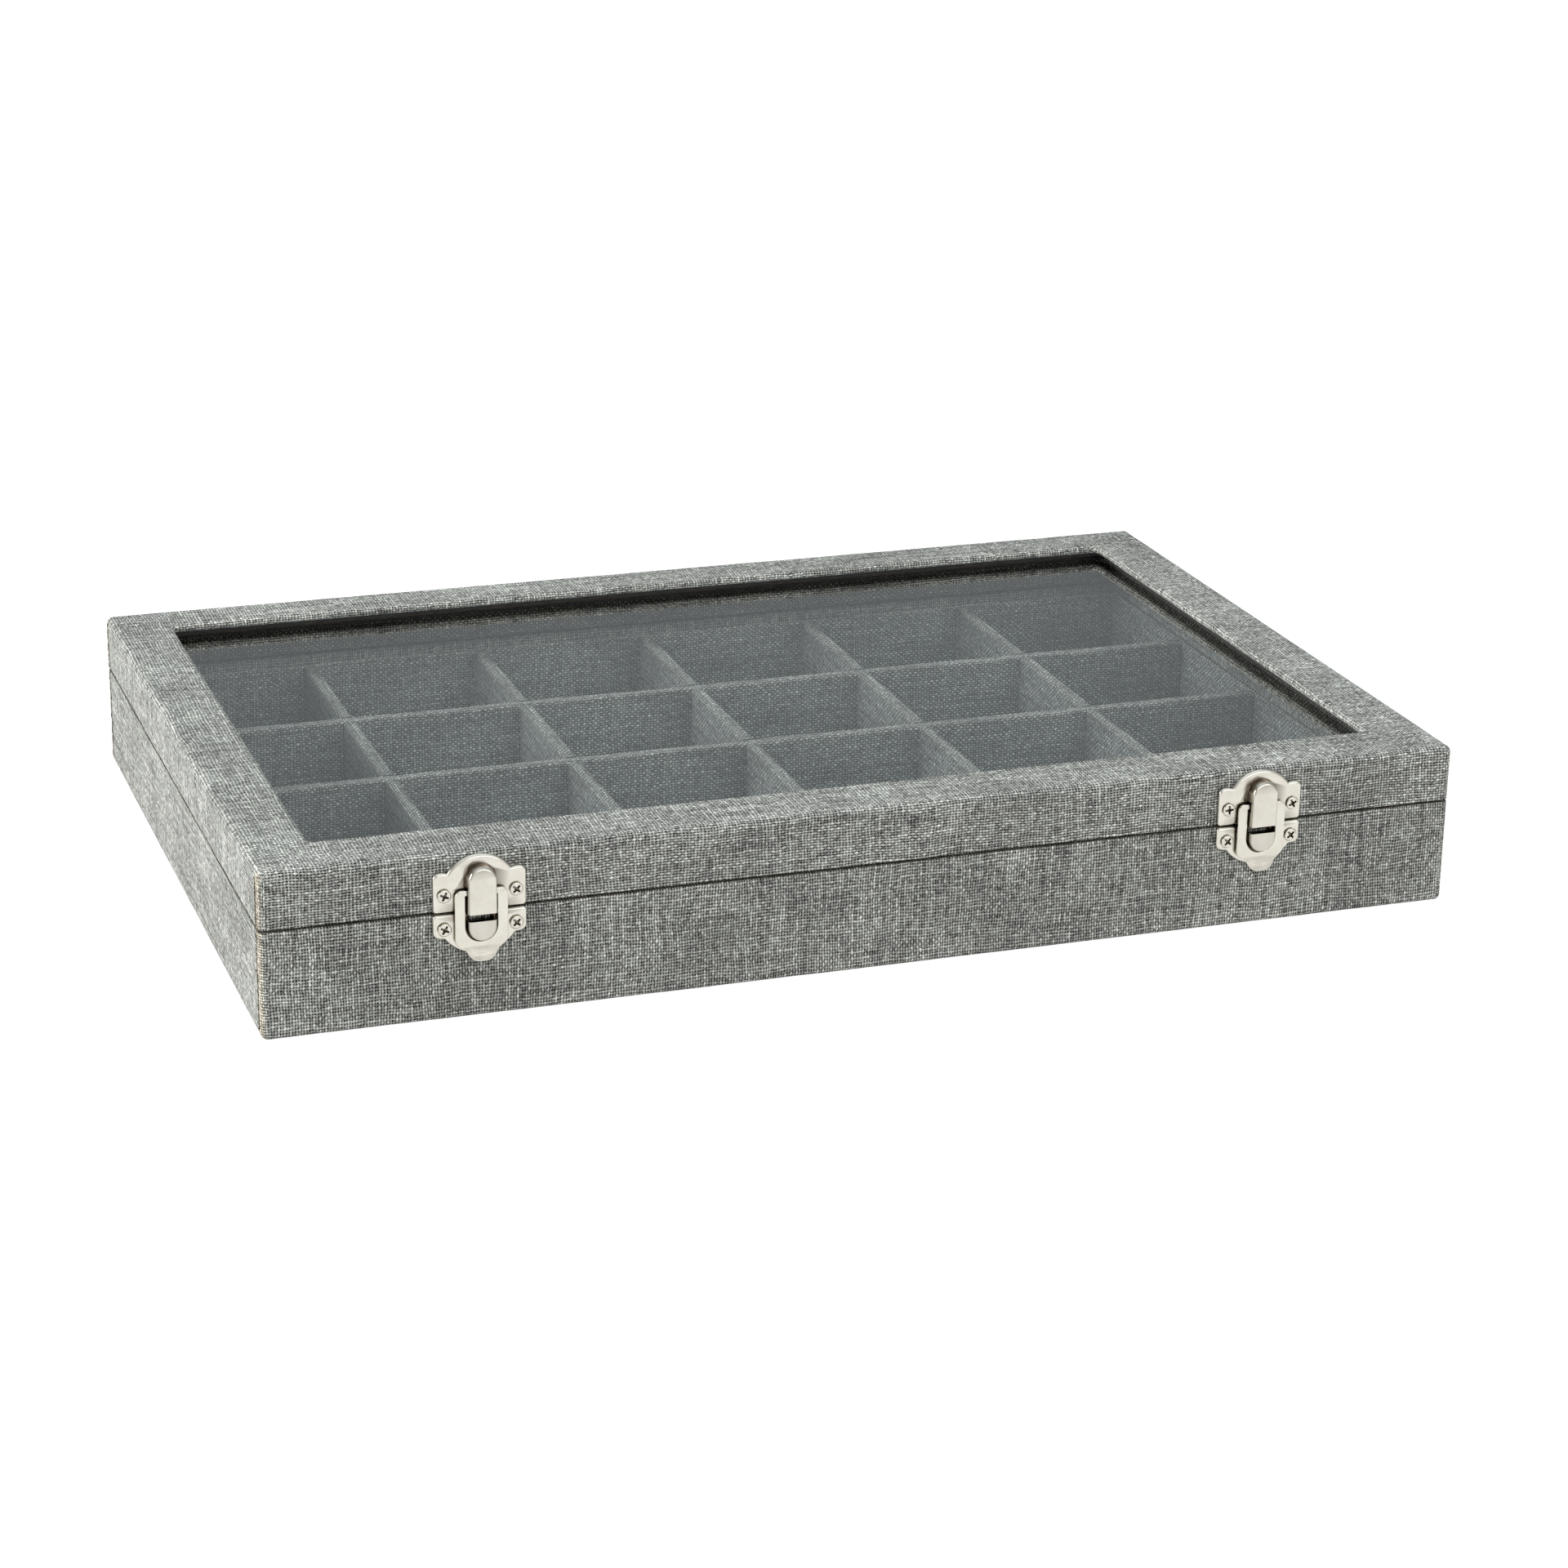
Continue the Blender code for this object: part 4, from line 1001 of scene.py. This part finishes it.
def covered_strip(node, axis, look, spacing=3.5 * MM):
    """A card strip with linen folded over its top edge, in place of a CAD node."""
    low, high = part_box(node)
    across = 1 - axis
    half = (high[across] - low[across]) / 2
    middle = (high[across] + low[across]) / 2
    profile, top = strip_profile(low.z, high.z, half)
    lengths = [0.0]
    for first, second in zip(profile, profile[1:]):
        lengths.append(lengths[-1] + hypot(second[0] - first[0], second[1] - first[1]))
    lengths.append(lengths[-1] + 2 * half)
    shape = bmesh.new()
    weave = shape.loops.layers.uv.new("Weave")
    tuck = shape.verts.layers.float.new("Tuck")
    steps = ceil((high[axis] - low[axis]) / spacing)
    places = [low[axis] + (high[axis] - low[axis]) * step / steps for step in range(steps + 1)]
    sections = []
    for place in places:
        sway = uneven((place, middle, 0.1), 45 * MM, 0.25 * MM)
        droop = uneven((place, middle, 0.9), 30 * MM, 0.25 * MM) - 0.1 * MM
        section = []
        for sideways, height in profile:
            share = (height - low.z) / (high.z - low.z)
            point = [0.0, 0.0, height + droop * share]
            point[axis] = place
            point[across] = middle + sideways + sway * share
            corner = shape.verts.new(point)
            # The folded tops are painted pale: a painted highlight where the light from above falls on them.
            corner[tuck] = PAINTED_TOP_LIGHT if height > top - 0.1 * MM else 0.0
            section.append(corner)
        sections.append(section)
    for number, face in enumerate(bridge(shape, sections)):
        step, index = divmod(number, len(profile))
        corners = ((step, index), (step, index + 1), (step + 1, index + 1), (step + 1, index))
        for loop, (along, round_it) in zip(face.loops, corners):
            loop[weave].uv = (places[along], lengths[round_it])
    for section in (sections[0][::-1], sections[-1]):
        for loop in shape.faces.new(section).loops:
            loop[weave].uv = (loop.vert.co[across], loop.vert.co.z)
    bmesh.ops.recalc_face_normals(shape, faces=shape.faces)
    return new_object(f"{node}_linen", shape, look, smooth=50)


def divider_covers(look):
    """The lapped grid. Each long strip is slotted from below, and each cross strip from the top."""
    long_nodes = sorted(name for name in frame["nodes"] if name.startswith("long_divider"))
    cross_nodes = sorted(name for name in frame["nodes"] if name.startswith("cross_divider"))
    low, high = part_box(long_nodes[0])
    half_way = (low.z + high.z) / 2
    reach = (high.y - low.y) / 2 + 0.2 * MM
    clear = 5 * MM
    turns = (
        (long_nodes, 0, cross_nodes, (reach, clear), (low.z - clear, half_way)),
        (cross_nodes, 1, long_nodes, (clear, reach), (half_way, high.z + clear)),
    )
    for nodes, axis, crossed, (wide, deep), (bottom, top) in turns:
        for node in nodes:
            slots = []
            for other in crossed:
                here, there = centre_of(node), centre_of(other)
                x, y = (here.x, there.y) if axis else (there.x, here.y)
                slots.append(block((x - wide, y - deep, bottom), (x + wide, y + deep, top)))
            strip = covered_strip(node, axis, look)
            finish_piece(combine(strip, "DIFFERENCE", slots), "base", "lining", node)


def lining_covers(look):
    for side, axis in (("front", 0), ("back", 0), ("left", 1), ("right", 1)):
        node = f"{side}_lining"
        finish_piece(covered_strip(node, axis, look), "base", "lining", node)


def floor_cover(look):
    """The lining of the compartments' floor: a slightly uneven glued sheet."""
    low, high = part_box("floor_lining")
    shape = bmesh.new()
    bmesh.ops.create_grid(shape, x_segments=84, y_segments=56, size=0.5)
    bmesh.ops.scale(shape, vec=(high.x - low.x, high.y - low.y, 1), verts=shape.verts)
    weave = shape.loops.layers.uv.new("Weave")
    for point in shape.verts:
        point.co.z = high.z - 0.1 * MM + uneven(point.co, 30 * MM, 0.1 * MM)
    for face in shape.faces:
        for loop in face.loops:
            loop[weave].uv = (loop.vert.co.x, loop.vert.co.y)
    piece = new_object("floor_linen", shape, look, smooth=50)
    modify(piece, "SOLIDIFY", thickness=0.8 * MM, offset=-1.0)
    return finish_piece(piece, "base", "lining", "floor_lining")


# Pressed and turned metal. Meshes have x from the middle, y outwards as -y, and z from the floor.


def offset_outline(points, distance):
    """A closed outline moved inwards by a distance. The outline runs anticlockwise."""
    moved = []
    count = len(points)
    for index, here in enumerate(points):
        back = (here - points[index - 1]).normalized()
        onward = (points[(index + 1) % count] - here).normalized()
        first = Vector((-back.y, back.x))
        second = Vector((-onward.y, onward.x))
        middle = (first + second).normalized()
        moved.append(here + middle * distance / max(middle.dot(first), 0.3))
    return moved


def anticlockwise(points):
    """The outline without doubled points, running anticlockwise."""
    kept = [here for index, here in enumerate(points) if (here - points[index - 1]).length > 1e-6]
    area = sum(kept[i - 1].x * kept[i].y - kept[i].x * kept[i - 1].y for i in range(len(kept)))
    return kept if area > 0 else kept[::-1]


def domed_plate(outline, look, steps=6):
    """A latch plate: flat, with its outer edge rounded over."""
    outline = anticlockwise(outline)
    sections = [(0.12 * MM, PLATE_BACK), (0.0, PLATE_BACK + 0.1 * MM)]
    for step in range(steps + 1):
        angle = radians(90 * step / steps)
        sections.append((PLATE_EDGE * (1 - cos(angle)), PLATE_FRONT - PLATE_EDGE + PLATE_EDGE * sin(angle)))
    sections.append((PLATE_EDGE + 0.08 * MM, PLATE_FRONT))
    shape = bmesh.new()
    rings = []
    for inwards, out in sections:
        moved = offset_outline(outline, inwards)
        rings.append([shape.verts.new((point.x, -out, point.y)) for point in moved])
    bridge(shape, rings)
    close_ends(shape, rings)
    return new_object("plate", shape, look, smooth=40)


# Half the cup's width, the heights of its two ends, how far out its face stands, how far its walls lean
# in, and the height of the crease past which its face leans back at a slope of lean.
Cup = namedtuple("Cup", "half flat_end round_end face taper crease lean")


def cup_sections(cup, steps=5):
    """A pressed cup's wall as (inwards, outwards): the flare at its foot, the wall, and its shoulder."""
    flare, shoulder = 0.45 * MM, 0.75 * MM
    wall_top = cup.face - shoulder
    angles = [radians(90 * step / steps) for step in range(steps + 1)]
    foot = PLATE_FRONT - 0.05 * MM
    sections = [(-flare * (1 - sin(angle)), foot + flare * (1 - cos(angle))) for angle in angles]
    sections.append((cup.taper / 2, (sections[-1][1] + wall_top) / 2))
    for angle in angles:
        sections.append((cup.taper + shoulder * (1 - cos(angle)), wall_top + shoulder * sin(angle)))
    return sections


def cup_outline(cup, inwards, steps=9):
    """Half of a cup's outline, from its flat end to the tip of its round end."""
    way = 1 if cup.round_end > cup.flat_end else -1
    width = cup.half - inwards
    centre = cup.round_end - way * cup.half
    reach = cup.round_end - way * inwards - way * width
    points = [(width, cup.flat_end), (width, cup.flat_end + (centre - cup.flat_end) * 0.5)]
    if cup.crease:
        points.append((width, min(cup.crease, reach)))
    for step in range(1 if cup.crease else 0, steps + 1):
        angle = pi / 2 * step / steps
        points.append((width * cos(angle), reach + way * width * sin(angle)))
    return points


def pressed_cup(cup, look):
    """A pressed hood or catch: open at its flat end, and flared where it meets its plate.

    A hood has a crease across its face, past which the face leans back towards the plate.
    """
    shape = bmesh.new()
    rings = []
    for inwards, out in cup_sections(cup):
        points = cup_outline(cup, inwards)
        ring = []
        for x, z in points + [(-x, z) for x, z in points[-2::-1]]:
            back_off = cup.lean * max(0.0, z - cup.crease) * min(1.0, out / cup.face) if cup.crease else 0.0
            ring.append(shape.verts.new((x, back_off - out, z)))
        rings.append(ring)
    bridge(shape, rings, closed=False)
    last = rings[-1]
    count = len(last)
    tip = (count - 1) // 2
    for index in range(tip - 1):
        shape.faces.new((last[index], last[index + 1], last[count - 2 - index], last[count - 1 - index]))
    shape.faces.new((last[tip - 1], last[tip], last[tip + 1]))
    bmesh.ops.recalc_face_normals(shape, faces=shape.faces)
    shape.faces.ensure_lookup_table()
    if shape.faces[-1].normal.y > 0:
        bmesh.ops.reverse_faces(shape, faces=shape.faces)
    piece = modify(new_object("cup", shape, look, smooth=40), "SOLIDIFY", thickness=SHEET, offset=-1.0)
    piece.data.set_sharp_from_angle(angle=radians(40))
    return piece


def join(parts):
    """Joins objects into one mesh without changing their shapes."""
    shape = bmesh.new()
    for part in parts:
        shape.from_mesh(part.data)
    look = parts[0].data.materials[0]
    for part in parts:
        bpy.data.objects.remove(part, do_unlink=True)
    return new_object("joined", shape, look)


def take_mesh(piece):
    """Smooth shading with crisp folds. Returns the mesh and removes the object."""
    mesh = piece.data
    soften(mesh, 38)
    bpy.data.objects.remove(piece, do_unlink=True)
    return mesh


def cut_plate(plate, screws_up, throat_half, throat_low, throat_high):
    """Sinks the seats for the two screws, and opens the throat behind the pressed cup."""
    clear = 1 * MM
    seats = []
    for side in (-1, 1):
        start = (side * SCREW_ASIDE, -PLATE_FRONT - clear, screws_up)
        seats.append(rod(start, (0, 1, 0), clear + SEAT_DEPTH, SEAT_RADIUS))
    throat = block((-throat_half, -3 * MM, throat_low), (throat_half, 2 * MM, throat_high))
    combine(plate, "DIFFERENCE", seats + [throat])


def hood_plate_mesh(look):
    """The upper plate: arched top, two screw seats, and the hood with its notches for the flap's bar."""
    half, bottom, shoulder, neck, middle, radius = 12.9, 31.45, 42.9, 9.9, 36.5, 10.7
    start = degrees(atan2(shoulder - 0.3 - middle, neck - 1.1))
    low = in_mm((-half, bottom, 1.0), (half, bottom, 1.0), (half, shoulder, 1.9), (neck, shoulder, 3.0))
    arch = [(*point, 0) for point in arc((0, middle * MM), radius * MM, start, 180 - start, 28)]
    corners = low + arch + in_mm((-neck, shoulder, 3.0), (-half, shoulder, 1.9))
    plate = domed_plate(fillet(corners), look)
    cut_plate(plate, middle * MM, throat_half=3.3 * MM, throat_low=30 * MM, throat_high=43 * MM)
    cup = Cup(
        half=4.25 * MM,
        flat_end=bottom * MM,
        round_end=44.9 * MM,
        face=5.0 * MM,
        taper=0.35 * MM,
        crease=41.0 * MM,
        lean=0.13,
    )
    notch = block((-6 * MM, -3.75 * MM, 35.5 * MM), (6 * MM, -1.5 * MM, 38.6 * MM))
    hood = combine(pressed_cup(cup, look), "DIFFERENCE", [notch])
    return shade_cup_foot(take_mesh(join([plate, hood])), cup)


def catch_plate_mesh(look):
    """The lower plate: rounded ears, two screw seats, and the D-shaped catch."""
    half, top, ear = 13.0, 31.0, 24.2
    high = in_mm((half, top, 1.0), (-half, top, 1.0), (-half, ear, 2.0))
    belly = [(*point, 0) for point in arc((0, top * MM), 12.1 * MM, 216, 324, 24)]
    corners = high + belly + in_mm((half, ear, 2.0))
    plate = domed_plate(fillet(corners), look)
    cut_plate(plate, 26.9 * MM, throat_half=3.2 * MM, throat_low=28.6 * MM, throat_high=32 * MM)
    cup = Cup(
        half=4.15 * MM,
        flat_end=29.35 * MM,
        round_end=23.3 * MM,
        face=4.7 * MM,
        taper=0.3 * MM,
        crease=None,
        lean=0.0,
    )
    return shade_cup_foot(take_mesh(join([plate, pressed_cup(cup, look)])), cup)


def shade_cup_foot(mesh, cup, height=2.3 * MM, margin=0.6 * MM):
    """Paints shade on a pressed cup and its plate where they meet, less and less up to a height over the
    plate.
    """
    inset = cup.half if cup.round_end < cup.flat_end else -cup.half
    low, high = sorted((cup.flat_end, cup.round_end + inset))
    values = []
    for point in mesh.vertices:
        rise = -point.co.y - PLATE_FRONT
        nearest = min(max(point.co.z, low), high)
        near = hypot(point.co.x, point.co.z - nearest) < cup.half + margin
        values.append(0.95 * min(1.0, max(0.0, 1.6 - rise / height)) if near else 0.0)
    mesh.attributes.new("Tuck", "FLOAT", "POINT").data.foreach_set("value", values)
    return mesh


def outline_object(outlines, low, high, edge, look):
    """A flat outline with holes, thickened from one depth to another, all its edges rounded."""
    curve = bpy.data.curves.new("outline", "CURVE")
    curve.dimensions = "2D"
    curve.fill_mode = "BOTH"
    curve.extrude = (high - low) / 2 - edge
    curve.bevel_depth = edge
    curve.bevel_resolution = 3
    curve.offset = -edge
    for outline in outlines:
        spline = curve.splines.new("POLY")
        spline.points.add(len(outline) - 1)
        for point, place in zip(spline.points, outline):
            point.co = (place[0], place[1], 0, 1)
        spline.use_cyclic_u = True
    flat = link(bpy.data.objects.new("outline", curve))
    shape = bmesh.new()
    shape.from_mesh(made_mesh(flat))
    bpy.data.objects.remove(flat, do_unlink=True)
    bmesh.ops.remove_doubles(shape, verts=shape.verts, dist=1e-7)
    upright = Matrix(((1, 0, 0), (0, 0, -1), (0, 1, 0))).to_4x4()
    shift = Matrix.Translation((0, -(high + low) / 2, 0))
    bmesh.ops.transform(shape, matrix=shift @ upright, verts=shape.verts)
    bmesh.ops.recalc_face_normals(shape, faces=shape.faces)
    return new_object("outline", shape, look, smooth=40)


def flap_mesh(look):
    """The hanging flap: a window and a narrow tab that curls outwards."""
    right = in_mm((7.3, 37.9, 1.9), (7.3, 22.7, 2.2), (4.4, 20.6, 2.6), (2.9, 17.8, 3.6))
    left = [(-x, z, radius) for x, z, radius in right]
    outer = fillet(left + right[::-1], 8)
    wide, low, high = 4.4 * MM, 23.05 * MM, 36.2 * MM
    hole = arc((0, low + wide), wide, 180, 360, 20) + [Vector((wide, high)), Vector((-wide, high))]
    back = 2.2 * MM
    flap = outline_object([outer, hole], back, back + 0.8 * MM, 0.28 * MM, look)
    shape = reopen(flap)
    bend = 22.8 * MM
    for step in range(10):
        geometry = shape.verts[:] + shape.edges[:] + shape.faces[:]
        plane = (0, 0, bend - step * 0.5 * MM)
        bmesh.ops.bisect_plane(shape, geom=geometry, plane_co=plane, plane_no=(0, 0, 1))
    bend_over = 1.6 * MM
    slope = 0.34
    for point in shape.verts:
        below = max(0.0, bend - point.co.z)
        soft = min(below, bend_over)
        point.co.y -= slope * (below - soft + soft * soft / (2 * bend_over))
    put_back(shape, flap)
    return take_mesh(flap)


def screw_mesh(look):
    """A pan head with a cross recess and a short plain shank, facing -Y."""
    head, shank, length, edge = 1.8 * MM, 0.85 * MM, 5.2 * MM, 0.3 * MM
    dome = SCREW_RISE - 0.12 * MM
    profile = [(0, SCREW_RISE), (head * 0.45, SCREW_RISE - 0.03 * MM), (head - edge, dome)]
    profile += [tuple(point) for point in arc((head - edge, dome - edge), edge, 80, 0, 5)]
    profile += [(head, -0.4 * MM), (shank, -0.6 * MM), (shank, -length + 1.6 * MM), (0, -length)]
    line = bmesh.new()
    points = [line.verts.new((x, 0, z)) for x, z in profile]
    for first, second in zip(points, points[1:]):
        line.edges.new((first, second))
    screw = new_object("screw", line, look)
    modify(screw, "SCREW", axis="Z", steps=40, render_steps=40, use_merge_vertices=True, merge_threshold=1e-6)
    shape = reopen(screw)
    bmesh.ops.recalc_face_normals(shape, faces=shape.faces)
    put_back(shape, screw)
    arm, reach, centre, floor, above = 0.3 * MM, 1.3 * MM, 0.5 * MM, -0.35 * MM, 2 * MM
    halves = ((reach, arm), (arm, reach), (centre, centre))
    combine(screw, "DIFFERENCE", [block((-x, -y, floor), (x, y, above)) for x, y in halves])
    shape = reopen(screw)
    # Painted shade: the faces inside the cross recess are painted dark brown.
    tuck = shape.faces.layers.float.new("Tuck")
    for face in shape.faces:
        middle = face.calc_center_median()
        inside = hypot(middle.x, middle.y) < reach * 1.1 and floor - 0.01 * MM < middle.z < SCREW_RISE * 0.7
        face[tuck] = 0.85 if inside else 0.0
    put_back(shape, screw)
    screw.data.transform(Matrix.Rotation(radians(90), 4, "X"))
    return take_mesh(screw)


def leaf_outline(way, reach):
    """A hinge leaf's corners in millimetres. The lower leaf leaves room for the upper one's knuckle."""
    half, start, step = 12.5, 2.3, 0.2
    if way > 0:
        inner = 4.1
        first = [(-inner, 0, 0), (inner, 0, 0), (inner, start - 0.4, 0), (half, start, 0.4)]
        last = [(-half, start, 0.4), (-inner, start - 0.4, 0)]
    else:
        inner, outer = 4.8, half - step
        first = [(-inner, 0, 0), (-inner, start - 0.4, 0), (inner, start - 0.4, 0), (inner, 0, 0)]
        first += [(outer, 0, 0), (outer, start, 0), (half, start + step, 0)]
        last = [(-half, start + step, 0), (-outer, start, 0), (-outer, 0, 0)]
    corners = first + [(half, reach, 1.5), (-half, reach, 1.5)] + last
    return [(x, way * z, radius) for x, z, radius in corners]


def hinge_leaf_mesh(way, reach, knuckles, look):
    """One hinge leaf with its knuckles, about the pin's axis. The leaf lies towards the box, at -Y."""
    leaf = outline_object([fillet(in_mm(*leaf_outline(way, reach)))], 0.9 * MM, 1.7 * MM, 0.15 * MM, look)
    seats = []
    for side in (-1, 1):
        seats.append(rod((side * 8.5 * MM, -1.15 * MM, way * 8.0 * MM), (0, 1, 0), 2 * MM, 2.05 * MM))
    combine(leaf, "DIFFERENCE", seats)
    rolls = [rod((low * MM, 0, 0), (1, 0, 0), (high - low) * MM, 1.6 * MM) for low, high in knuckles]
    combine(leaf, "UNION", rolls)
    if way > 0:
        stop = block((-4.1 * MM, 1.05 * MM, -0.4 * MM), (4.1 * MM, 3.0 * MM, 0.4 * MM))
        combine(leaf, "UNION", [stop])
    combine(leaf, "DIFFERENCE", [rod((-14 * MM, 0, 0), (1, 0, 0), 28 * MM, 0.9 * MM)])
    return take_mesh(bevel_edges(leaf, 0.12 * MM, 2))


def pin_mesh(look):
    """The hinge pin, with domed ends."""
    pin = rod((-12.5 * MM, 0, 0), (1, 0, 0), 25 * MM, 0.75 * MM, 32)
    pin.data.materials.append(look)
    return take_mesh(bevel_edges(pin, 0.3 * MM, 4))


def place_copy(name, mesh, place, body, slot, node, turn=(0, 0, 0)):
    """An object that shares a mesh, in place of a CAD node."""
    piece = link(bpy.data.objects.new(name, mesh))
    piece.location = place
    piece.rotation_euler = turn
    return finish_piece(piece, body, slot, node)


def build_latches(nickel, steel):
    hood, catch, flap = hood_plate_mesh(nickel), catch_plate_mesh(nickel), flap_mesh(nickel)
    for side in SIDES:
        place = (centre_of(f"{side}_latch_plate").x, -HALF_DEPTH, 0)
        place_copy(f"{side}_hood_plate", hood, place, "lid", "nickel", f"{side}_latch_plate")
        place_copy(f"{side}_catch", catch, place, "base", "nickel", f"{side}_catch_plate")
        place_copy(f"{side}_flap", flap, place, f"flap_{side}", "nickel", f"{side}_latch_flap")
        paint_node(f"{side}_latch_spring", steel)


def build_screws(nickel):
    """Each screw's mesh is shared, and each has its own turn of the recess."""
    mesh = screw_mesh(nickel)
    turns = Random(5)
    for node in sorted(name for name in frame["nodes"] if "_screw_" in name):
        low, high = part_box(node)
        back = low.y > 0
        y = high.y - SCREW_RISE if back else low.y + SCREW_RISE
        place = ((low.x + high.x) / 2, y, (low.z + high.z) / 2)
        turn = (0, turns.uniform(-0.9, 0.9), pi if back else 0)
        place_copy(f"{node}_head", mesh, place, frame["nodes"][node]["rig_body"], "nickel", node, turn)


def build_hinges(nickel, steel):
    under = hinge_leaf_mesh(-1, 13.9, [(-12.5, -4.6), (4.6, 12.5)], nickel)
    over = hinge_leaf_mesh(1, 12.9, [(-4.3, 4.3)], nickel)
    pin = pin_mesh(steel)
    for side in SIDES:
        place = centre_of(f"{side}_hinge_pin")
        place_copy(f"{side}_base_leaf", under, place, "base", "nickel", f"{side}_hinge_base_leaf")
        place_copy(f"{side}_lid_leaf", over, place, "lid", "nickel", f"{side}_hinge_lid_leaf")
        place_copy(f"{side}_pin", pin, place, "base", "steel", f"{side}_hinge_pin")


# CAD nodes that keep their shape, and the felt


def paint_node(node, look):
    """Gives a CAD node a material, and leaves its shape as it is."""
    piece = frame["nodes"][node]
    if not piece.material_slots:
        piece.data.materials.append(look)
    for place in piece.material_slots:
        place.link = "OBJECT"
        place.material = look


def build_boards():
    board = board_material()
    for node in frame["nodes"]:
        if node.endswith(("_board", "_panel")):
            paint_node(node, board)


def build_felt(look):
    """The felt sheet under the box, with softened, slightly ragged edges."""
    low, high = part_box("bottom_felt")
    edge, inner = 0.25 * MM, 30 * MM
    sections = ((inner, 0), (edge, 0), (0, edge), (0, high.z - edge), (edge, high.z), (inner, high.z))
    shape = bmesh.new()
    rings = []
    for inwards, height in sections:
        box = (low.x + inwards, high.x - inwards, low.y + inwards, high.y - inwards)
        ring = []
        for x, y, _, _ in ring_points(box, 2 * MM):
            ragged = 1 - uneven((x, y, 0.2), 1.7 * MM, 0.0012) if inwards < MM else 1.0
            ring.append(shape.verts.new((x * ragged, y * ragged, height)))
        rings.append(ring)
    bridge(shape, rings)
    close_ends(shape, rings)
    piece = new_object("felt_sheet", shape, look, smooth=40)
    return finish_piece(piece, "base", "felt", "bottom_felt")


# Stage


def build_camera():
    camera = bpy.data.cameras.new("camera")
    camera.lens = LENS
    camera.sensor_width = 36.0
    camera.clip_end = 50.0
    eye = link(bpy.data.objects.new("camera", camera))
    yaw, pitch, roll = radians(CAMERA_YAW), radians(CAMERA_PITCH), radians(CAMERA_ROLL)
    forward = Vector((sin(yaw) * cos(pitch), cos(yaw) * cos(pitch), -sin(pitch)))
    right = Vector((cos(yaw), -sin(yaw), 0.0))
    up = right.cross(forward)
    tilted_right = right * cos(roll) + up * sin(roll)
    tilted_up = up * cos(roll) - right * sin(roll)
    turn = Matrix((tilted_right, tilted_up, -forward)).transposed()
    eye.matrix_world = Matrix.Translation(CAMERA_PLACE) @ turn.to_4x4()
    bpy.context.scene.camera = eye


def soft_light(name, place, size, power, target=(0, 0, 0.02)):
    """A rectangular area light that faces the box. Its power is in watts."""
    lamp = bpy.data.lights.new(name, "AREA")
    lamp.shape = "RECTANGLE"
    lamp.size, lamp.size_y = size
    lamp.energy = power
    light = link(bpy.data.objects.new(name, lamp))
    light.location = place
    light.rotation_euler = (Vector(target) - Vector(place)).to_track_quat("-Z", "Y").to_euler()


def build_world():
    """White behind the box, and a soft grey-blue studio for everything that lights or mirrors it."""
    world = bpy.data.worlds.new("studio")
    bpy.context.scene.world = world
    world.use_nodes = True
    look = Nodes(world.node_tree)
    look.tree.nodes.clear()
    shown, lighting = look.add("Background"), look.add("Background")
    look.feed(shown.inputs["Color"], (1.0, 1.0, 1.0))
    split = look.add("SeparateXYZ")
    look.feed(split.inputs[0], look.add("TexCoord").outputs["Generated"])
    towards_right, towards_back, upwards = split.outputs
    ceiling = look.spread(upwards, 0.0, 1.0, 0.35, 0.9, smooth=True)
    behind = look.spread(towards_back, 0.0, 1.0, -0.5, 0.5, smooth=True)
    black_flag = look.spread(towards_right, 0.3, 1.0, -0.8, -0.45, smooth=True)
    walls = look.mix(behind, (0.74, 0.735, 0.72), (0.262, 0.285, 0.296))
    whole = look.mix(ceiling, walls, (0.86, 0.92, 0.95))
    look.feed(lighting.inputs["Color"], look.scaled(whole, black_flag))
    seen = look.add("LightPath").outputs["Is Camera Ray"]
    look.blend_shaders(look.add("OutputWorld"), seen, lighting.outputs[0], shown.outputs[0])


def build_stage():
    shape = bmesh.new()
    bmesh.ops.create_grid(shape, x_segments=1, y_segments=1, size=6.0)
    floor = new_object("studio_floor", shape, floor_material())
    floor.location.z = CAD_BOX[0][2] - 0.2 * MM
    floor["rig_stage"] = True
    build_world()
    soft_light("key_left", (-1.55, 0.18, 0.48), (1.2, 0.8), 31)
    soft_light("fill_front", (0.6, -1.8, 0.85), (1.6, 0.8), 7.8)
    soft_light("top", (0.2, 0.5, 1.7), (1.4, 1.2), 1.8)
    bpy.context.scene.view_settings.view_transform = "Standard"


# The whole box


def build_linen():
    lid_linen = linen_material("lid_linen")
    # The base's linen is the lid's with a darker weft: painted shade, for a front that looks darker than the
    # lid's.
    base_linen = linen_material("base_linen", turned=True, weft=(0.41, 0.415, 0.386))
    lining = linen_material(
        "lining_linen", weft=(0.52, 0.53, 0.505), warp=(0.30, 0.305, 0.288), lift=0.58, slubs=0.75, pit=0.02
    )
    for cover, body in ((lid_cover(lid_linen), "lid"), (base_cover(base_linen), "base")):
        finish_piece(roughen(cover, 13 * MM, 0.07 * MM), body, "linen", f"{body}_wrap")
    finish_piece(retainer_cover(lining), "lid", "lining", "glass_retainer")
    build_seams()
    divider_covers(lining)
    lining_covers(lining)
    floor_cover(lining)


build_camera()
build_stage()
build_linen()
build_boards()
FELT, NICKEL, STEEL = felt_material(), nickel_material(), steel_material()
build_felt(FELT)
build_latches(NICKEL, STEEL)
build_screws(NICKEL)
build_hinges(NICKEL, STEEL)
paint_node("glass_pane", glass_material())
paint_node("glass_spacer", FELT)

boxes = {"cad": CAD_BOX, "visual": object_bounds()}
plain = {name: [list(corner) for corner in box] for name, box in boxes.items()}
